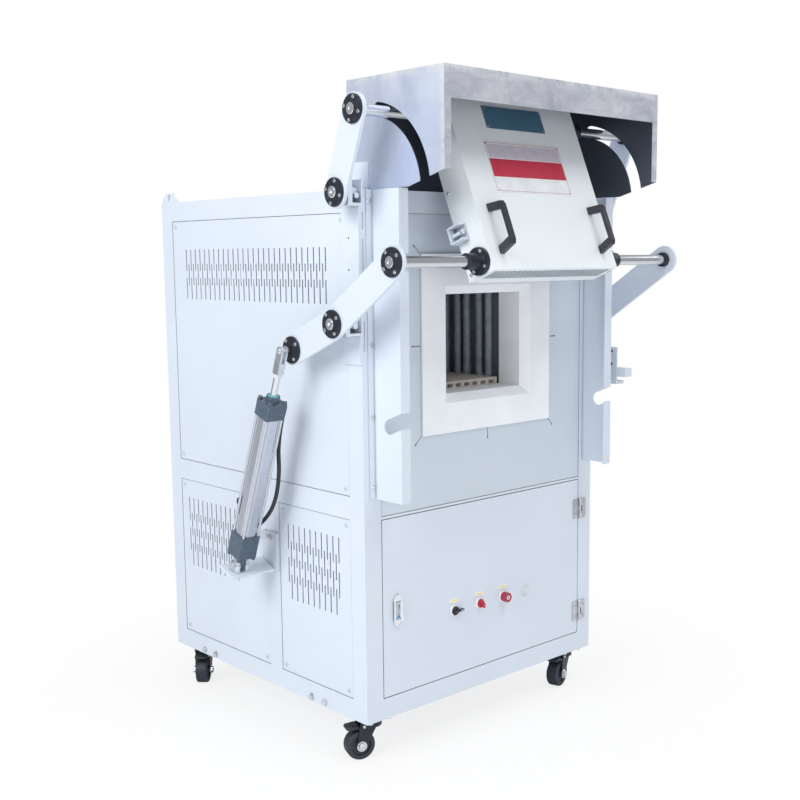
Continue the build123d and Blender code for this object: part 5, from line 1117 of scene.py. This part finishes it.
switch = Piece("limit_switch_body_and_screws")
body_at = facing(place(RIGHT + 0.0115, -0.0266, 0.8070), TO_FRONT)
body = rounded_box(0.0160, 0.0575, 0.0015)
switch.drawn(body_at, body, -0.0165, 0.0168, black_plastic, 0.0012)
for height in (0.790, 0.824):
    switch.pan_screw(facing(place(RIGHT, -0.068, height), TO_LEFT), 0.0036, 0.0016, black_plastic)
switch.done("base")

seams = Piece("weld_seams_of_the_lifting_lugs")
for x in (LEFT - 0.0002, RIGHT - 0.0078):
    route = []
    for step in range(31):
        depth = CABINET_DEPTH - 0.0700 + 0.062 * step / 30.0
        height = CABINET_HEIGHT + random.uniform(-0.0004, 0.0004)
        route.append(place(x + 0.0005, depth, height))
    seams.swept(route, 0.0016, paint, 8)
seams.done("base")

# Casters: bolts, rivets, hub nuts and grooved wheels

# x, depth and yaw of each caster
CASTERS = {
    "front_left": (-0.348, 0.055, 159.6),
    "front_right": (0.348, 0.055, 195.0),
    "rear_left": (-0.348, 0.778, 226.0),
    "rear_right": (0.348, 0.778, 205.0),
}
CASTER_TRAIL = 0.027
FORK_SIDE = 0.0210
RIVET = ((0.0042, 0.0), (0.0038, 0.0012), (0.0022, 0.0022))
wheel_low, wheel_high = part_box("caster_wheel_front_left")
WHEEL = (wheel_high.z - wheel_low.z) / 2.0
plate_bolts = Piece("caster_plate_bolts")
for corner, (x, depth, yaw) in CASTERS.items():
    swivel = Matrix.Translation((x, FRONT + depth, 0.0)) @ spin(yaw)
    axle = swivel @ shift(CASTER_TRAIL, 0.0, WHEEL) @ spin(-90.0, "X")
    wheel = Piece(f"grooved_wheel_{corner}")
    tread_edge = [(WHEEL - 0.0045, 0.0160), (WHEEL - 0.0023, 0.0154), (WHEEL - 0.0007, 0.0138)]
    profile = [(0.0240, -0.0160)] + [(radius, -height) for radius, height in tread_edge]
    for groove in (-0.0085, 0.0, 0.0085):
        profile += [
            (WHEEL, groove - 0.0028),
            (WHEEL, groove - 0.0010),
            (WHEEL - 0.0011, groove - 0.0007),
            (WHEEL - 0.0011, groove + 0.0007),
            (WHEEL, groove + 0.0010),
            (WHEEL, groove + 0.0028),
        ]
    profile += tread_edge[::-1] + [(0.0240, 0.0160)]
    profile += [(0.0230, 0.0120), (0.0110, 0.0120), (0.0100, 0.0160), (0.0052, 0.0160)]
    profile += [(0.0052, -0.0160), (0.0100, -0.0160), (0.0110, -0.0120), (0.0230, -0.0120)]
    wheel.turned(axle, profile, tread, ring=True, segments=64)
    wheel.done(f"wheel_{corner}", f"caster_wheel_{corner}")
    trim = Piece(f"caster_rivets_and_nuts_{corner}")
    for way in (-1.0, 1.0):
        out = swivel.to_3x3() @ Vector((0.0, way, 0.0))
        nut = facing(swivel @ Vector((CASTER_TRAIL, way * FORK_SIDE, WHEEL)), out)
        trim.hex_bolt(nut, 0.0092, 0.0058, screw_steel, 0.0010)
        for step in (0.004, 0.020):
            rivet = facing(swivel @ Vector((step, way * FORK_SIDE, BASE - 0.0230)), out)
            trim.turned(rivet, RIVET, screw_steel)
    pedal = swivel @ shift(0.0465, 0.0, BASE - 0.0265) @ spin(6.0, "Y")
    trim.drawn(pedal, rounded_box(0.0300, 0.0350, 0.0060), -0.0010, 0.0050, black_plastic, 0.0014)
    rib = rounded_box(0.0030, 0.0280, 0.0010)
    for step in (-0.009, 0.0, 0.009):
        trim.drawn(pedal @ shift(step, 0.0), rib, 0.0050, 0.0062, black_plastic)
    trim.done(f"caster_{corner}")
    for bx in (-0.028, 0.028):
        for by in (-0.037, 0.037):
            spot = place(x + bx, depth + by, -0.004)
            bolt = Matrix.Translation(spot) @ spin(180.0, "X")
            plate_bolts.hex_bolt(bolt, 0.0065, 0.0050, screw_steel, 0.0010)
plate_bolts.done("base")

for name, side in (("left_air_hose", SIDES[0]), ("right_air_hose", SIDES[1])):
    line, start = hose(name, side)
    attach(line, "base")
    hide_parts("air_hoses")

# Floor, backdrop and light

floor_shader = Shader("floor", (0.88, 0.89, 0.90), 0.8)
glow = floor_shader.node("ShaderNodeEmission")
path = floor_shader.node("ShaderNodeLightPath")
straight = floor_shader.either(path.outputs["Is Camera Ray"], path.outputs["Is Transmission Ray"])
away = floor_shader.node("ShaderNodeVectorMath", operation="LENGTH")
floor_shader.link(floor_shader.coords, away.inputs[0])
fade = floor_shader.remap(away.outputs["Value"], 0.55, 1.25, 0.80, 1.0)
joined = floor_shader.node("ShaderNodeMixShader")
floor_shader.link(floor_shader.math("MULTIPLY", straight, fade), joined.inputs["Fac"])
floor_shader.link(floor_shader.bsdf.outputs["BSDF"], joined.inputs[1])
floor_shader.link(glow.outputs["Emission"], joined.inputs[2])
surface = floor_shader.tree.nodes["Material Output"].inputs["Surface"]
floor_shader.link(joined.outputs["Shader"], surface)
floor_mesh = bpy.data.meshes.new("floor")
REACH = 30.0
corners = [(x * REACH, y * REACH, 0.0) for x, y in ((-1, -1), (1, -1), (1, 1), (-1, 1))]
floor_mesh.from_pydata(corners, [], [(0, 1, 2, 3)])
floor = bpy.data.objects.new("floor", floor_mesh)
bpy.context.collection.objects.link(floor)
floor_mesh.materials.append(floor_shader.material)

world = bpy.data.worlds.new("studio")
bpy.context.scene.world = world
world.use_nodes = True
tree = world.node_tree
background = tree.nodes["Background"]
background.inputs["Color"].default_value = (0.93, 0.96, 1.0, 1.0)
background.inputs["Strength"].default_value = 0.42
seen = tree.nodes.new("ShaderNodeBackground")
seen.inputs["Color"].default_value = (1.0, 1.0, 1.0, 1.0)
seen.inputs["Strength"].default_value = 1.0
rays = tree.nodes.new("ShaderNodeLightPath")
either = tree.nodes.new("ShaderNodeMath")
either.operation = "MAXIMUM"
mixer = tree.nodes.new("ShaderNodeMixShader")
tree.links.new(rays.outputs["Is Camera Ray"], either.inputs[0])
tree.links.new(rays.outputs["Is Transmission Ray"], either.inputs[1])
tree.links.new(either.outputs["Value"], mixer.inputs["Fac"])
tree.links.new(background.outputs["Background"], mixer.inputs[1])
tree.links.new(seen.outputs["Background"], mixer.inputs[2])
tree.links.new(mixer.outputs["Shader"], tree.nodes["World Output"].inputs["Surface"])


def lamp(name, location, target, size, power, colour=(1.0, 1.0, 1.0)):
    """A soft rectangular lamp that shines on a target."""
    data = bpy.data.lights.new(name, "AREA")
    data.shape = "RECTANGLE"
    data.size = size[0]
    data.size_y = size[1]
    data.energy = power
    data.color = colour
    obj = bpy.data.objects.new(name, data)
    bpy.context.collection.objects.link(obj)
    obj.location = location
    direction = Vector(target) - Vector(location)
    obj.rotation_mode = "QUATERNION"
    obj.rotation_quaternion = direction.to_track_quat("-Z", "Y")


lamp("key", (-3.6, -0.4, 2.6), (0.0, 0.0, 0.8), (2.0, 2.0), 90.0, (0.98, 0.99, 1.0))
lamp("front", (0.1, -3.0, 4.7), (0.0, -0.4, 0.9), (1.8, 1.8), 68.0)
lamp("low front", (-1.8, -4.0, 1.1), (0.0, 0.0, 0.8), (2.0, 1.4), 30.0)
lamp("top", (0.0, 0.3, 4.2), (0.0, 0.0, 0.9), (2.4, 2.4), 26.0)
lamp("right", (3.4, -0.6, 2.0), (0.0, 0.0, 0.8), (2.0, 2.0), 28.0)

# Camera, solved from the photograph: lens and middle of the view in pixels of its width

PICTURE = 800.0
FOCAL = 1157.38
MIDDLE = (439.35, 413.49)
SENSOR = 36.0
camera_data = bpy.data.cameras.new("camera")
camera = bpy.data.objects.new("camera", camera_data)
bpy.context.collection.objects.link(camera)
bpy.context.scene.camera = camera
right = Vector((0.72613, -0.68752, -0.00692)).normalized()
look = Vector((0.68078, 0.72034, -0.13285)).normalized()
look = (look - right * look.dot(right)).normalized()
rise = right.cross(look)
turn = Matrix((right, rise, -look)).transposed()
stand = place(LEFT - 1.63221, -1.97611, 1.07018)
camera.matrix_world = Matrix.Translation(stand) @ turn.to_4x4()
camera_data.sensor_width = SENSOR
camera_data.lens = SENSOR * FOCAL / PICTURE
camera_data.shift_x = (PICTURE / 2.0 - MIDDLE[0]) / PICTURE
camera_data.shift_y = (MIDDLE[1] - PICTURE / 2.0) / PICTURE
camera_data.clip_start = 0.05
camera_data.clip_end = 100.0
bpy.context.scene.view_settings.view_transform = "Standard"
